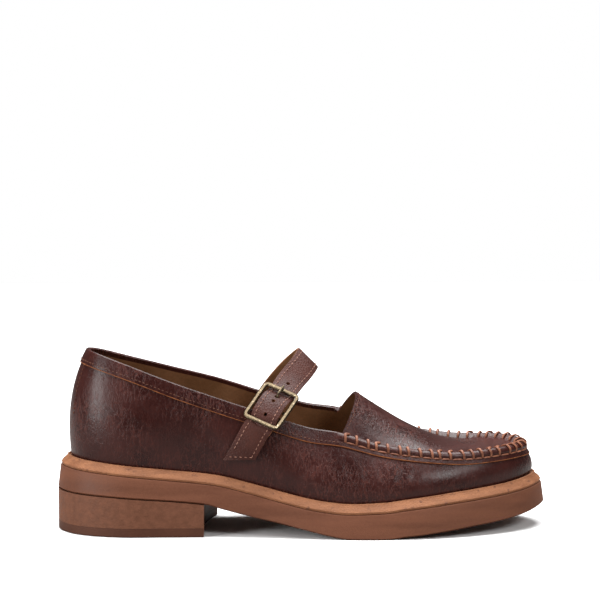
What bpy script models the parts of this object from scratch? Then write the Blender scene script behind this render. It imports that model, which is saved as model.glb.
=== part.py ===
"""Buckled moccasin-toe loafer with a chunky sole and block heel: one right shoe.

Frame: +X to the toe, +Y to the inner (medial) side, +Z up, floor at z = 0.
Every size below is in millimetres and is turned into metres when a mesh is made.
"""

import math
from collections import namedtuple

import bmesh
import bpy
import numpy as np

MM = 0.001

# Driving sizes.
GAP = 0.3                 # air between neighbouring pieces
LEATHER = 1.8             # upper wall, leather and lining together
BAND_WIDTH = 8.5          # topline band, from the collar edge down
BAND_STEP = 0.8           # how far the band and the seam strip stand proud
ROLL_WIDTH = 5.0          # rolled seam, from its crest down the wall
ROLL_HEIGHT = 1.9         # rolled seam, out from the wall
ROLL_INSIDE = 2.4         # from the roll's crest inwards to the foot of the plug
ROLL_DROP = 1.9           # the plug's foot below the roll's crest
THROAT_BOW = 10.0         # middle of the plug's throat edge ahead of its corners
WELT_WIDTH = 5.5          # from the upper's foot out to the welt's corner
WELT_FALL = 3.6           # the welt's corner below the upper's foot
WALL_TOP = 5.0            # outsole's top face below the upper's foot
WALL_FLARE = 1.6          # the sole wall leans out this much down its height
LIFT = 5.0                # top lift thickness
LIFT_EDGE = 0.6           # worn lower edge of the top lift
HEEL_FRONT_LATERAL = -54.5
HEEL_FRONT_MEDIAL = -46.5
HEEL_FRONT_HOLLOW = 3.7   # how deep the heel's front is hollowed
INSOLE = 2.4              # sock and board above the upper's foot

STRAP_WIDTH = 15.4
STRAP_THICK = 1.8
HOLES_AT = (20.7, 2.4, -6.8)   # along the strap from the buckle's middle
HOLE_RADIUS = 1.1
PRONG_HOLE_AT = 7.0
PRONG_HOLE_RADIUS = 1.6

FRAME_LENGTH = 27.0
FRAME_WIDTH = 22.6
FRAME_BAR = 2.3
FRAME_THICK = 1.8
FRAME_CORNER = 3.2
CENTRE_BAR_RADIUS = 0.8
CENTRE_BAR_SINK = 2.2     # centre bar below the middle plane of the frame
CENTRE_BAR_BEND = 0.5
BAR_ROOT = 0.2            # where the centre bar ends inside the frame's side bars
BAR_EDGE = 0.5            # softened edge of the frame's bar
TAB_THICK = 0.5
TAB_WIDTH = 6.6
PRONG_RADIUS = 0.7
PRONG_SLOT_RADIUS = 2.6
PRONG_SLOT_WIDTH = 3.4
PRONG_EYE_PLAY = 0.25     # air between the centre bar and the prong's eye
PRONG_EYE_WALL = 0.9
PRONG_EYE_WIDTH = 2.2

# Mesh density.
STEPS_PER_STATION = 3
ROWS_BELOW_BAND = 7
RUNG_STEPS = 10
FRONT_STEPS = 10          # across the heel's hollowed front
CORNER_STEPS = 4          # round each corner of the buckle's frame
ROUND_SIDES = 14
HOLE_SIDES = 10
PRONG_SIDES = 8
HOLE_REACH = 4.0          # half the length of the rods that cut the strap's holes

# Side profile: height of the tread and of the upper's foot along the shoe.
Profile = namedtuple("Profile", "x tread foot")
PROFILE = [
    Profile(-142, 23.6, 42.8),
    Profile(-113, 22.8, 40.2),
    Profile(-90, 21.4, 37.8),
    Profile(-54, 18.4, 34.3),
    Profile(-45, 15.8, 33.0),
    Profile(-30, 12.0, 29.4),
    Profile(-11, 7.8, 24.5),
    Profile(4, 4.2, 21.0),
    Profile(15, 1.7, 19.3),
    Profile(26, 0.0, 18.5),
    Profile(46, 0.0, 19.3),
    Profile(56, 1.2, 20.6),
    Profile(68, 2.3, 22.0),
    Profile(83, 4.1, 23.7),
    Profile(99, 6.0, 25.2),
    Profile(115, 7.8, 26.8),
    Profile(127, 9.6, 28.5),
    Profile(142, 13.2, 31.4),
]

# Stations round the last, from the heel's back along the lateral side to the toe and back.
# foot: where the upper meets the welt. low, high: how far the wall swells out from its foot
# and from its top edge. top: collar edge, or crest of the rolled seam.
Station = namedtuple("Station", "foot_x foot_y low high top_x top_y top_z")
STATIONS = [
    Station(-129.2, 0.0, 2.2, 11.0, -119.4, 0.0, 101.8),
    Station(-121.0, -18.6, 3.0, 9.0, -113.0, -13.2, 100.0),
    Station(-101.0, -28.0, 3.5, 7.0, -96.5, -21.0, 94.4),
    Station(-74.0, -28.7, 3.0, 5.0, -72.0, -26.2, 85.4),
    Station(-46.0, -29.2, 3.2, 4.0, -46.0, -28.3, 76.6),
    Station(-18.0, -32.4, 3.8, 4.0, -20.0, -28.8, 68.0),
    Station(8.0, -37.6, 4.0, 5.5, 3.0, -28.0, 60.2),
    Station(30.0, -41.0, 3.6, 8.0, 22.0, -27.2, 56.7),
    Station(53.0, -41.2, 3.0, 8.5, 43.0, -28.7, 50.6),
    Station(74.0, -38.4, 2.6, 8.0, 65.0, -29.2, 47.1),
    Station(94.0, -31.6, 2.5, 7.0, 85.0, -26.8, 45.4),
    Station(111.0, -22.8, 2.4, 6.4, 102.0, -21.5, 46.0),
    Station(125.0, -10.6, 2.3, 6.2, 117.0, -11.0, 46.7),
    Station(132.0, 4.0, 2.2, 6.4, 125.0, 3.0, 46.8),
    Station(127.6, 18.6, 2.3, 6.2, 119.6, 15.2, 48.6),
    Station(115.5, 29.4, 2.4, 6.4, 107.5, 24.0, 48.3),
    Station(98.5, 37.6, 2.6, 7.0, 91.0, 29.3, 47.7),
    Station(78.0, 42.6, 2.8, 8.0, 70.0, 31.5, 50.1),
    Station(55.0, 44.6, 3.0, 8.5, 47.0, 31.2, 55.4),
    Station(31.0, 42.4, 3.8, 8.0, 22.6, 29.2, 63.5),
    Station(8.0, 36.0, 4.2, 6.0, 4.0, 28.6, 66.4),
    Station(-18.0, 30.2, 4.2, 4.5, -20.0, 28.8, 73.0),
    Station(-46.0, 27.2, 4.0, 4.0, -46.0, 28.3, 81.2),
    Station(-74.0, 27.4, 3.4, 5.0, -72.0, 26.2, 88.0),
    Station(-101.0, 28.0, 3.5, 7.0, -96.5, 21.0, 94.8),
    Station(-121.0, 18.6, 3.0, 9.0, -113.0, 13.2, 99.9),
]
THROAT_LATERAL = 7        # station of the plug's lateral corner
TOE = 13
THROAT_MEDIAL = 19

# Height of the plug's middle line along the shoe.
Crest = namedtuple("Crest", "x z")
CREST = [
    Crest(20, 84.5),
    Crest(32, 75.8),
    Crest(46, 66.4),
    Crest(59, 58.4),
    Crest(72, 51.9),
    Crest(82, 48.2),
    Crest(95, 45.9),
    Crest(110, 45.2),
    Crest(124, 45.4),
]

# Buckle: centre of the frame, direction up the strap, direction across it.
BUCKLE_AT = (-17.0, -30.7, 72.6)
BUCKLE_ALONG = (0.506, 0.583, 0.636)
BUCKLE_ACROSS = (0.863, -0.371, -0.346)

# The strap's outer face along its middle line, in four stretches from the tail to the medial end.
# Hug: a place on the quarter, hug out from its wall. Level: a place in the frame, measured along
# and out of its middle plane. Arch: a place in the air. across_*: the way to its front edge.
Hug = namedtuple("Hug", "x z hug across_x across_y across_z")
Level = namedtuple("Level", "along out")
Arch = namedtuple("Arch", "x y z across_x across_y across_z")
STRAP_TAIL = [
    Hug(-35.0, 43.0, 3.0, 0.866, -0.05, -0.50),
    Hug(-31.9, 48.8, 3.4, 0.866, -0.10, -0.50),
    Hug(-28.8, 54.6, 3.9, 0.866, -0.15, -0.48),
    Hug(-26.0, 59.8, 5.5, 0.866, -0.24, -0.44),
]
STRAP_IN_BUCKLE = [
    Level(-13.6, -2.1),
    Level(-10.8, -1.9),
    Level(-6.4, 0.8),
    Level(0.0, 1.9),
    Level(4.0, 1.7),
    Level(7.0, 0.6),
    Level(10.8, -1.6),
    Level(13.6, -1.6),
]
STRAP_ARCH = [
    Arch(-5.4, -14.6, 85.2, 0.83, -0.28, -0.46),
    Arch(0.8, -8.0, 91.2, 0.77, -0.14, -0.60),
    Arch(4.4, -1.4, 95.0, 0.72, -0.03, -0.69),
    Arch(5.0, 4.6, 95.7, 0.71, 0.03, -0.70),
    Arch(2.4, 12.4, 93.2, 0.75, 0.12, -0.64),
    Arch(-3.8, 21.6, 86.9, 0.81, 0.26, -0.52),
    Arch(-10.6, 29.6, 78.4, 0.85, 0.30, -0.43),
    Arch(-16.0, 35.0, 69.8, 0.866, 0.22, -0.43),
]
STRAP_MEDIAL_END = [
    Hug(-20.4, 61.6, 3.9, 0.866, 0.16, -0.47),
    Hug(-24.2, 54.2, 3.3, 0.866, 0.10, -0.49),
    Hug(-27.4, 48.0, 2.9, 0.866, 0.05, -0.50),
]

# The buckle tab's inner face: first on the quarter, then over the collar edge to the centre bar.
TAB_ON_WALL = [
    Hug(-29.0, 52.0, 0.6, 0.866, -0.13, -0.48),
    Hug(-26.6, 56.6, 0.8, 0.866, -0.13, -0.48),
    Hug(-24.2, 61.0, 1.35, 0.866, -0.16, -0.45),
    Hug(-22.4, 64.4, 1.3, 0.866, -0.17, -0.42),
]
TAB_OVER_EDGE = [
    Level(-6.8, -3.4),
    Level(-4.2, -3.6),
    Level(-2.2, -4.1),
]

# The prong's middle line, from its eye under the strap, up the hole and over the top bar.
PRONG = [
    Level(1.2, -1.7),
    Level(4.4, -1.3),
    Level(5.9, -0.6),
    Level(7.0, 0.9),
    Level(8.0, 2.0),
    Level(10.8, 2.1),
    Level(14.1, 1.5),
]
TAIL_CUT = 0.577          # slant that makes both strap ends parallel to the sole
CUT_FADE = 14.0           # length over which the slant dies out


# Small helpers.

def unit(vector):
    vector = np.asarray(vector, float)
    length = np.linalg.norm(vector, axis=-1, keepdims=True)
    return vector / np.maximum(length, 1e-9)


def flat_lookup(rows, column, x):
    """Smooth curve through a table's rows that never overshoots and keeps level runs level."""
    xs = np.array([row.x for row in rows], float)
    ys = np.array([getattr(row, column) for row in rows], float)
    step = np.diff(xs)
    slope = np.diff(ys) / step
    before, after = slope[:-1], slope[1:]
    same_way = before * after > 0
    product = np.where(same_way, before * after, 0.0)
    total = np.where(same_way, before + after, 1.0)
    middle = 2.0 * product / total
    tangent = np.concatenate([[slope[0]], middle, [slope[-1]]])
    x = np.clip(x, xs[0], xs[-1])
    cell = np.clip(np.searchsorted(xs, x, side="right") - 1, 0, len(xs) - 2)
    u = (x - xs[cell]) / step[cell]
    rise = ys[cell] * (1 + 2 * u) * (1 - u) ** 2 + ys[cell + 1] * u * u * (3 - 2 * u)
    lean = tangent[cell] * u * (1 - u) ** 2 - tangent[cell + 1] * u * u * (1 - u)
    return rise + lean * step[cell]


def spline(points, per_span, closed):
    """Catmull-Rom curve through rows of numbers, with per_span steps between neighbours."""
    points = np.asarray(points, float)
    count = len(points)
    if closed:
        padded = np.vstack([points[-1:], points, points[:2]])
        spans = count
    else:
        first = 2 * points[0] - points[1]
        last = 2 * points[-1] - points[-2]
        padded = np.vstack([first, points, last])
        spans = count - 1
    out = []
    for span in range(spans):
        a, b, c, d = padded[span:span + 4]
        for step in range(per_span):
            u = step / per_span
            curve = 2 * b + (c - a) * u + (2 * a - 5 * b + 4 * c - d) * u ** 2
            curve = curve + (3 * b - a - 3 * c + d) * u ** 3
            out.append(0.5 * curve)
    if not closed:
        out.append(points[-1])
    return np.array(out)


def foot_height(x):
    return flat_lookup(PROFILE, "foot", x)


def tread_height(x):
    return flat_lookup(PROFILE, "tread", x)


def outward(ring):
    """Level unit vectors that point out of a closed ring, one per point."""
    ahead = np.roll(ring, -1, axis=0)
    behind = np.roll(ring, 1, axis=0)
    run = ahead - behind
    side = np.stack([run[:, 1], -run[:, 0], np.zeros(len(ring))], axis=1)
    return unit(side)


# Collections and objects.

def clear_scene():
    for thing in list(bpy.data.objects):
        bpy.data.objects.remove(thing, do_unlink=True)


def new_collection(name):
    collection = bpy.data.collections.new(name)
    bpy.context.scene.collection.children.link(collection)
    return collection


def new_material(name, colour, roughness, metallic=0.0):
    material = bpy.data.materials.new(name)
    material.use_nodes = True
    shader = material.node_tree.nodes["Principled BSDF"]
    shader.inputs["Base Color"].default_value = (*colour, 1.0)
    shader.inputs["Roughness"].default_value = roughness
    shader.inputs["Metallic"].default_value = metallic
    return material


def sole_middle():
    """Middle of the sole's outline, which becomes the origin."""
    ring = tread_ring()
    middle = (ring.min(axis=0) + ring.max(axis=0)) / 2
    return np.array([middle[0], middle[1], 0.0])


def new_object(name, points, faces, collection, material=None):
    """One closed mesh from points in millimetres, with its faces turned outwards."""
    places = (np.asarray(points) - sole_middle()) * MM
    mesh = bpy.data.meshes.new(name)
    mesh.from_pydata([tuple(place) for place in places], [], faces)
    work = bmesh.new()
    work.from_mesh(mesh)
    bmesh.ops.recalc_face_normals(work, faces=work.faces)
    work.to_mesh(mesh)
    work.free()
    thing = bpy.data.objects.new(name, mesh)
    collection.objects.link(thing)
    if material:
        mesh.materials.append(material)
    return thing


def cut(target, tool, operation="DIFFERENCE"):
    modifier = target.modifiers.new(tool.name, "BOOLEAN")
    modifier.operation = operation
    modifier.solver = "EXACT"
    modifier.object = tool
    tool.hide_render = True
    tool.display_type = "WIRE"


class Surface:
    """Collects points in named rows and the faces between them."""

    def __init__(self):
        self.points = []
        self.faces = []

    def row(self, points):
        start = len(self.points)
        self.points.extend(np.asarray(points))
        return list(range(start, start + len(points)))

    def band(self, low, high, closed=False):
        count = len(low)
        last = count if closed else count - 1
        for i in range(last):
            j = (i + 1) % count
            quad = [low[i], low[j], high[j], high[i]]
            corners = [index for n, index in enumerate(quad) if index not in quad[:n]]
            if len(corners) > 2:
                self.faces.append(corners)

    def fan(self, ring):
        """Closes a flat ring with triangles round its middle."""
        middle = self.row([np.mean([self.points[index] for index in ring], axis=0)])[0]
        for near, far in zip(ring, ring[1:] + ring[:1]):
            self.faces.append([near, far, middle])

    def cap(self, ring):
        """Closes an even ring with straight rungs from its lateral to its medial half."""
        half = len(ring) // 2
        lateral = ring[:half + 1]
        medial = [ring[0]] + ring[:half - 1:-1]
        self.band(lateral, medial)


# The last's wall and the plug, as plain surfaces.

def wall_stations():
    """Fine stations round the shoe: foot points, handles and top points."""
    table = spline(STATIONS, STEPS_PER_STATION, closed=True)
    foot = np.stack([table[:, 0], table[:, 1], foot_height(table[:, 0])], axis=1)
    top = table[:, 4:7]
    return foot, table[:, 2:3], table[:, 3:4], top


def wall_point(share):
    """Points of the plain wall: share runs from 0 at the foot to 1 at the top, per station."""
    foot, low, high, top = wall_stations()
    out = outward(foot)
    climb = (top - foot) * np.array([0.0, 0.0, 1.0])
    first = foot + out * low + climb / 3
    second = top + out * high - climb / 3
    share = np.reshape(share * np.ones(len(foot)), (-1, 1))
    rest = 1 - share
    near = foot * rest ** 3 + 3 * first * rest ** 2 * share
    return near + 3 * second * rest * share ** 2 + top * share ** 3


def wall_normal(share):
    delta = 0.01
    low = np.maximum(share - delta, 0.0)
    high = np.minimum(share + delta, 1.0)
    up = wall_point(high) - wall_point(low)
    ring = wall_point(share)
    along = np.roll(ring, -1, axis=0) - np.roll(ring, 1, axis=0)
    return unit(np.cross(along, up))


def share_below_top(distance):
    """Per station, the share at which the wall is this far below its top, along the wall."""
    shares = np.linspace(0.0, 1.0, 81)
    rows = np.array([wall_point(share) for share in shares])
    steps = np.linalg.norm(np.diff(rows, axis=0), axis=2)
    above = np.vstack([np.cumsum(steps[::-1], axis=0)[::-1], np.zeros(steps.shape[1])])
    found = [np.interp(-distance, -above[:, i], shares) for i in range(above.shape[1])]
    return np.array(found)


def seam_weight():
    """1 along the rolled seam, 0 along the collar."""
    count = len(STATIONS) * STEPS_PER_STATION
    weight = np.zeros(count)
    weight[THROAT_LATERAL * STEPS_PER_STATION:THROAT_MEDIAL * STEPS_PER_STATION + 1] = 1.0
    return weight


def roll_profile(distance):
    """How far the roll stands out of the wall at this distance below its crest."""
    across = (2 * distance / ROLL_WIDTH - 1)
    return ROLL_HEIGHT * math.sqrt(max(0.0, 1 - across * across))


def outer_rows():
    """Rows of the upper's outer wall, from its foot to the collar or the roll's crest."""
    seam = seam_weight()[:, None]
    edge = share_below_top(BAND_WIDTH)
    rows = []
    for step in range(ROWS_BELOW_BAND + 1):
        rows.append(wall_point(edge * step / ROWS_BELOW_BAND))
    for distance in (BAND_WIDTH - 0.3, ROLL_WIDTH, 4.3, 3.2, 1.8, 0.7, 0.0):
        share = share_below_top(distance)
        collar_step = BAND_STEP * (1.0 if distance > 0.7 else 0.5 + distance / 1.4)
        strip_step = BAND_STEP * min(1.0, distance / ROLL_WIDTH) + roll_profile(distance)
        step = collar_step * (1 - seam) + strip_step * seam
        rows.append(wall_point(share) + wall_normal(share) * step)
    return rows


def inner_rows():
    """Rows of the upper's inner wall, from its foot to its top."""
    rows = []
    for share in (0.0, 0.2, 0.4, 0.6, 0.8, 0.92, 1.0):
        normal = wall_normal(share)
        if share == 0.0:
            normal = unit(normal * np.array([1.0, 1.0, 0.0]))
        rows.append(wall_point(share) - normal * LEATHER)
    seam = seam_weight()[:, None]
    rows[-1] = rows[-1] - seam * np.array([0.0, 0.0, 1.2])
    return rows


def plug_rungs(drop):
    """Rows of points across the plug, from the throat edge to the toe, drop below its top."""
    top = wall_point(1.0)
    inward = -outward(top)
    foot = top + inward * ROLL_INSIDE - np.array([0.0, 0.0, ROLL_DROP])
    first = THROAT_LATERAL * STEPS_PER_STATION
    toe = TOE * STEPS_PER_STATION
    last = THROAT_MEDIAL * STEPS_PER_STATION
    rungs = []
    for step in range(toe - first):
        lateral, medial = foot[first + step], foot[last - step]
        nearness = max(0.0, 1 - step / (0.62 * (toe - first)))
        rung = []
        for u in np.linspace(0.0, 1.0, RUNG_STEPS + 1):
            across = 2 * u - 1
            dome = 0.7 * (1 - across ** 2) + 0.3 * (1 - across ** 4)
            point = lateral * (1 - u) + medial * u
            middle = (lateral + medial) / 2
            bow = THROAT_BOW * nearness
            rise = flat_lookup(CREST, "z", middle[0] + bow) - middle[2]
            point = point + np.array([bow * dome, 0.0, rise * dome])
            rung.append(point)
        rungs.append(np.array(rung))
    rungs.append(np.array([foot[toe]]))
    if drop:
        rungs = drop_rungs(rungs, drop)
    return rungs


def drop_rungs(rungs, drop):
    """Moves each rung into the shoe, square to the plug's surface."""
    moved = []
    for n, rung in enumerate(rungs[:-1]):
        ahead = rungs[n + 1] if n + 2 < len(rungs) else rung
        behind = rungs[n - 1] if n else rung
        along = ahead - behind
        across = np.gradient(rung, axis=0)
        normal = unit(np.cross(along, across))
        moved.append(rung - normal * np.sign(normal[:, 2:3]) * drop)
    tip = rungs[-1] - np.array([0.0, 0.0, drop])
    moved.append(tip)
    return moved


def build_upper(collection, material):
    surface = Surface()
    outer = [surface.row(row) for row in outer_rows()]
    inner = [surface.row(row) for row in inner_rows()]
    for low, high in zip(outer, outer[1:]):
        surface.band(low, high, closed=True)
    for low, high in zip(inner, inner[1:]):
        surface.band(low, high, closed=True)
    surface.band(inner[0], outer[0], closed=True)

    first = THROAT_LATERAL * STEPS_PER_STATION
    toe = TOE * STEPS_PER_STATION
    last = THROAT_MEDIAL * STEPS_PER_STATION
    throat = []
    for crest, drop in ((outer[-1], 0.0), (inner[-1], LEATHER)):
        rungs = [surface.row(rung) for rung in plug_rungs(drop)]
        tip = rungs[-1][0]
        lateral_foot = [rung[0] for rung in rungs[:-1]] + [tip]
        medial_foot = [rung[-1] for rung in rungs[:-1]] + [tip]
        surface.band(lateral_foot, crest[first:toe + 1])
        surface.band(medial_foot, crest[toe:last + 1][::-1])
        for near, far in zip(rungs[:-2], rungs[1:-1]):
            surface.band(near, far)
        surface.band(rungs[-2], [tip] * len(rungs[-2]))
        throat.append([crest[first]] + rungs[0] + [crest[last]])
    surface.band(throat[0], throat[1])

    collar_outer = outer[-1][last:] + outer[-1][:first + 1]
    collar_inner = inner[-1][last:] + inner[-1][:first + 1]
    surface.band(collar_outer, collar_inner)
    return new_object("upper", surface.points, surface.faces, collection, material)


# The sole.

def foot_ring():
    return wall_stations()[0]


def offset_ring(out, up):
    """The upper's foot line moved outwards and up."""
    ring = foot_ring()
    return ring + outward(ring) * out + np.array([0.0, 0.0, up])


def tread_ring():
    """Bottom edge of the sole wall."""
    ring = offset_ring(WELT_WIDTH + 0.3 + WALL_FLARE, 0.0)
    ring[:, 2] = tread_height(ring[:, 0])
    return ring


def build_welt(collection, material):
    """A strip with a lip beside the upper and a face that slopes down to its corner."""
    section = [
        (-4.0, -WALL_TOP + GAP),
        (-4.0, -GAP),
        (0.9, -GAP),
        (1.3, 0.7),
        (2.1, 0.6),
        (2.4, -0.4),
        (4.9, -2.5),
        (WELT_WIDTH, -WELT_FALL),
        (WELT_WIDTH - 0.4, -WALL_TOP + GAP),
    ]
    surface = Surface()
    rows = [surface.row(offset_ring(out, up)) for out, up in section]
    for low, high in zip(rows, rows[1:] + rows[:1]):
        surface.band(low, high, closed=True)
    return new_object("welt", surface.points, surface.faces, collection, material)


def build_outsole(collection, material):
    """The thick sole: a rounded top corner, a wall that flares out and a rounded tread edge."""
    bottom = tread_ring()
    out = outward(foot_ring())
    up = np.array([0.0, 0.0, 1.0])
    shoulder = offset_ring(WELT_WIDTH + 0.5, -WALL_TOP - 0.9)
    surface = Surface()
    rows = [
        surface.row(offset_ring(WELT_WIDTH - 6.0, -WALL_TOP)),
        surface.row(offset_ring(WELT_WIDTH - 0.2, -WALL_TOP)),
        surface.row(offset_ring(WELT_WIDTH + 0.3, -WALL_TOP - 0.3)),
        surface.row(shoulder),
        surface.row(shoulder * 0.5 + (bottom + up * 0.8) * 0.5),
        surface.row(bottom + up * 0.8),
        surface.row(bottom - out * 0.9),
        surface.row(bottom - out * 7.0),
    ]
    for low, high in zip(rows, rows[1:]):
        surface.band(low, high, closed=True)
    surface.cap(rows[0])
    surface.cap(rows[-1])
    return new_object("outsole", surface.points, surface.faces, collection, material)


def build_insole(collection, material):
    """Board between the welt's inner edge and a sock that fills the upper's floor."""
    section = [
        (-4.0 - GAP, -WALL_TOP + GAP),
        (-4.0 - GAP, 0.0),
        (-LEATHER - GAP, 0.0),
        (-LEATHER - GAP, INSOLE - 0.6),
        (-LEATHER - GAP - 0.7, INSOLE),
        (-LEATHER - GAP - 7.0, INSOLE),
    ]
    surface = Surface()
    rows = [surface.row(offset_ring(out, up)) for out, up in section]
    for low, high in zip(rows, rows[1:]):
        surface.band(low, high, closed=True)
    surface.cap(rows[0])
    surface.cap(rows[-1])
    return new_object("insole", surface.points, surface.faces, collection, material)


def heel_side(side, front):
    """The points of one side that lie behind the heel's front line, and one on that line."""
    behind = side[side[:, 0] < front]
    ahead = side[len(behind)]
    share = (front - behind[-1][0]) / (ahead[0] - behind[-1][0])
    return np.vstack([behind, behind[-1] + (ahead - behind[-1]) * share])


def heel_front(lateral, medial):
    """Points of the heel's hollowed front between its two corners."""
    points = []
    for u in np.linspace(0.0, 1.0, FRONT_STEPS + 1)[1:-1]:
        point = lateral[-1] * (1 - u) + medial[-1] * u
        point[0] -= HEEL_FRONT_HOLLOW * (1 - (2 * u - 1) ** 2)
        points.append(point)
    return np.array(points)


def heel_outline(inset):
    """The heel's lateral side, hollowed front and medial side, moved in by an inset."""
    ring = tread_ring() - outward(foot_ring()) * inset
    half = len(ring) // 2
    lateral = heel_side(ring[:half], HEEL_FRONT_LATERAL - inset)
    medial = heel_side(np.roll(ring[::-1], 1, axis=0)[:half], HEEL_FRONT_MEDIAL - inset)
    return lateral, heel_front(lateral, medial), medial


def heel_slab(name, levels, collection, material):
    """Block with the heel's outline through levels of (height, inset), bottom first.

    A height of None means just under the sole.
    """
    surface = Surface()
    rows = []
    for height, inset in levels:
        lateral, front, medial = heel_outline(inset)
        sides = []
        for part in (lateral, front, medial[:0:-1]):
            level = part.copy()
            level[:, 2] = tread_height(part[:, 0]) - 1.5 * GAP if height is None else height
            sides.append(surface.row(level))
        left, middle, right = sides
        rows.append(left + middle + right)
        ends = (left, middle, [left[0]] + right[::-1])
    for low, high in zip(rows, rows[1:]):
        surface.band(low, high, closed=True)
    surface.fan(rows[0])
    if levels[-1][0] is None:
        left, middle, right = ends
        shared = min(len(left), len(right))
        surface.band(left[:shared], right[:shared])
        surface.faces.append(left[shared - 1:] + middle + right[shared - 1:][::-1])
    else:
        surface.fan(rows[-1])
    return new_object(name, surface.points, surface.faces, collection, material)


# The strap and its buckle.

def wall_y(x, z, side):
    """The outer wall's y at a height and station of one side: side is -1 lateral, 1 medial."""
    rows = np.array(outer_rows())
    half = rows.shape[1] // 2
    part = rows[:, :half + 1] if side < 0 else rows[:, half:]
    heights, depths = [], []
    for row in part:
        order = np.argsort(row[:, 0])
        heights.append(np.interp(x, row[order, 0], row[order, 2]))
        depths.append(np.interp(x, row[order, 0], row[order, 1]))
    order = np.argsort(heights)
    return np.interp(z, np.array(heights)[order], np.array(depths)[order])


def hug_rows(table, side):
    """A table's places on the quarter, with the direction across the strap."""
    rows = []
    for row in table:
        y = wall_y(row.x, row.z, side) + side * row.hug
        rows.append((row.x, y, row.z, row.across_x, row.across_y, row.across_z))
    return rows


def level_rows(table):
    """A table's places in the buckle's frame, with the direction across the strap."""
    return [(*buckle_point(row.along, 0, row.out), *BUCKLE_ACROSS) for row in table]


def line_frames(rows):
    """Points of a line with unit vectors along it, across it and out of it."""
    rows = np.array(rows)
    middle = rows[:, :3]
    along = unit(np.gradient(middle, axis=0))
    across = rows[:, 3:]
    across = unit(across - along * np.sum(across * along, axis=1, keepdims=True))
    return middle, along, across, np.cross(across, along)


def strap_frames(per_span):
    rows = hug_rows(STRAP_TAIL, -1) + level_rows(STRAP_IN_BUCKLE)
    rows += [tuple(row) for row in STRAP_ARCH] + hug_rows(STRAP_MEDIAL_END, 1)
    return line_frames(spline(rows, per_span, closed=False))


def build_strap(collection, cutters, material):
    middle, along, across, out = strap_frames(per_span=3)
    length = np.concatenate([[0], np.cumsum(np.linalg.norm(np.diff(middle, axis=0), axis=1))])
    from_tail = np.clip(1 - length / CUT_FADE, 0, 1)
    from_end = np.clip(1 - (length[-1] - length) / CUT_FADE, 0, 1)
    slant = TAIL_CUT * (from_tail - from_end)
    surface = Surface()
    columns = []
    section = [(-0.5, 0.12), (-0.47, 0.0), (0.0, 0.0), (0.47, 0.0), (0.5, 0.12)]
    section += [(0.5, 0.85), (0.47, 1.0), (0.0, 1.0), (-0.47, 1.0), (-0.5, 0.85)]
    for point, ahead, side, face, cut_slope in zip(middle, along, across, out, slant):
        ring = []
        for wide, deep in section:
            offset = wide * STRAP_WIDTH
            place = point + side * offset + ahead * (offset * cut_slope)
            ring.append(place - face * (deep * STRAP_THICK))
        columns.append(surface.row(ring))
    for near, far in zip(columns, columns[1:]):
        surface.band(near, far, closed=True)
    surface.faces.append(columns[0])
    surface.faces.append(columns[-1][::-1])
    strap = new_object("strap", surface.points, surface.faces, collection, material)
    for number, at in enumerate(HOLES_AT + (PRONG_HOLE_AT,)):
        radius = PRONG_HOLE_RADIUS if at == PRONG_HOLE_AT else HOLE_RADIUS
        centre, direction = hole_place(at)
        reach = direction * HOLE_REACH
        tool = new_rod(f"strap_hole_{number}", centre - reach, centre + reach,
                       radius, HOLE_SIDES, cutters)
        cut(strap, tool)
    return strap


def hole_place(at):
    """Centre and direction of a hole, from its distance up the strap from the buckle's middle."""
    middle, _, _, out = strap_frames(per_span=12)
    steps = np.linalg.norm(np.diff(middle, axis=0), axis=1)
    length = np.concatenate([[0], np.cumsum(steps)])
    centre = np.argmin(np.linalg.norm(middle - buckle_point(0, 0, 1.9), axis=1))
    index = np.argmin(np.abs(length - (length[centre] + at)))
    return middle[index], out[index]


def new_rod(name, start, end, radius, sides, collection, material=None):
    """A straight round rod between two points."""
    start, end = np.asarray(start), np.asarray(end)
    axis = unit(end - start)
    spare = np.array([0.0, 0.0, 1.0]) if abs(axis[2]) < 0.8 else np.array([1.0, 0.0, 0.0])
    first = unit(np.cross(axis, spare))
    second = np.cross(axis, first)
    return sweep_object(name, [start, end], [first, first], [second, second],
                        circle(radius, sides), collection, material)


def circle(radius, sides):
    turns = np.arange(sides) * 2 * math.pi / sides
    return np.stack([radius * np.cos(turns), radius * np.sin(turns)], axis=1)


def sweep_object(name, path, firsts, seconds, section, collection, material, closed=False):
    """Sweeps a section, given in two directions per path point, along a path."""
    surface = Surface()
    rows = []
    for point, first, second in zip(path, firsts, seconds):
        rows.append(surface.row([point + first * a + second * b for a, b in section]))
    pairs = zip(rows, rows[1:] + rows[:1]) if closed else zip(rows, rows[1:])
    for low, high in pairs:
        surface.band(low, high, closed=True)
    if not closed:
        surface.faces.append(rows[0])
        surface.faces.append(rows[-1][::-1])
    return new_object(name, surface.points, surface.faces, collection, material)


def buckle_axes():
    along = unit(BUCKLE_ALONG)
    across = np.array(BUCKLE_ACROSS)
    across = unit(across - along * np.dot(across, along))
    out = np.cross(across, along)
    return np.array(BUCKLE_AT), along, across, out


def buckle_point(along_mm, across_mm, out_mm):
    centre, along, across, out = buckle_axes()
    return centre + along * along_mm + across * across_mm + out * out_mm


def rounded_bar(width, thick):
    """Section of a flat bar with softened edges."""
    w, t = width / 2, thick / 2
    s = BAR_EDGE
    return [(w, t - s), (w - s, t), (s - w, t), (-w, t - s), (-w, s - t), (s - w, -t),
            (w - s, -t), (w, s - t)]


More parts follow.
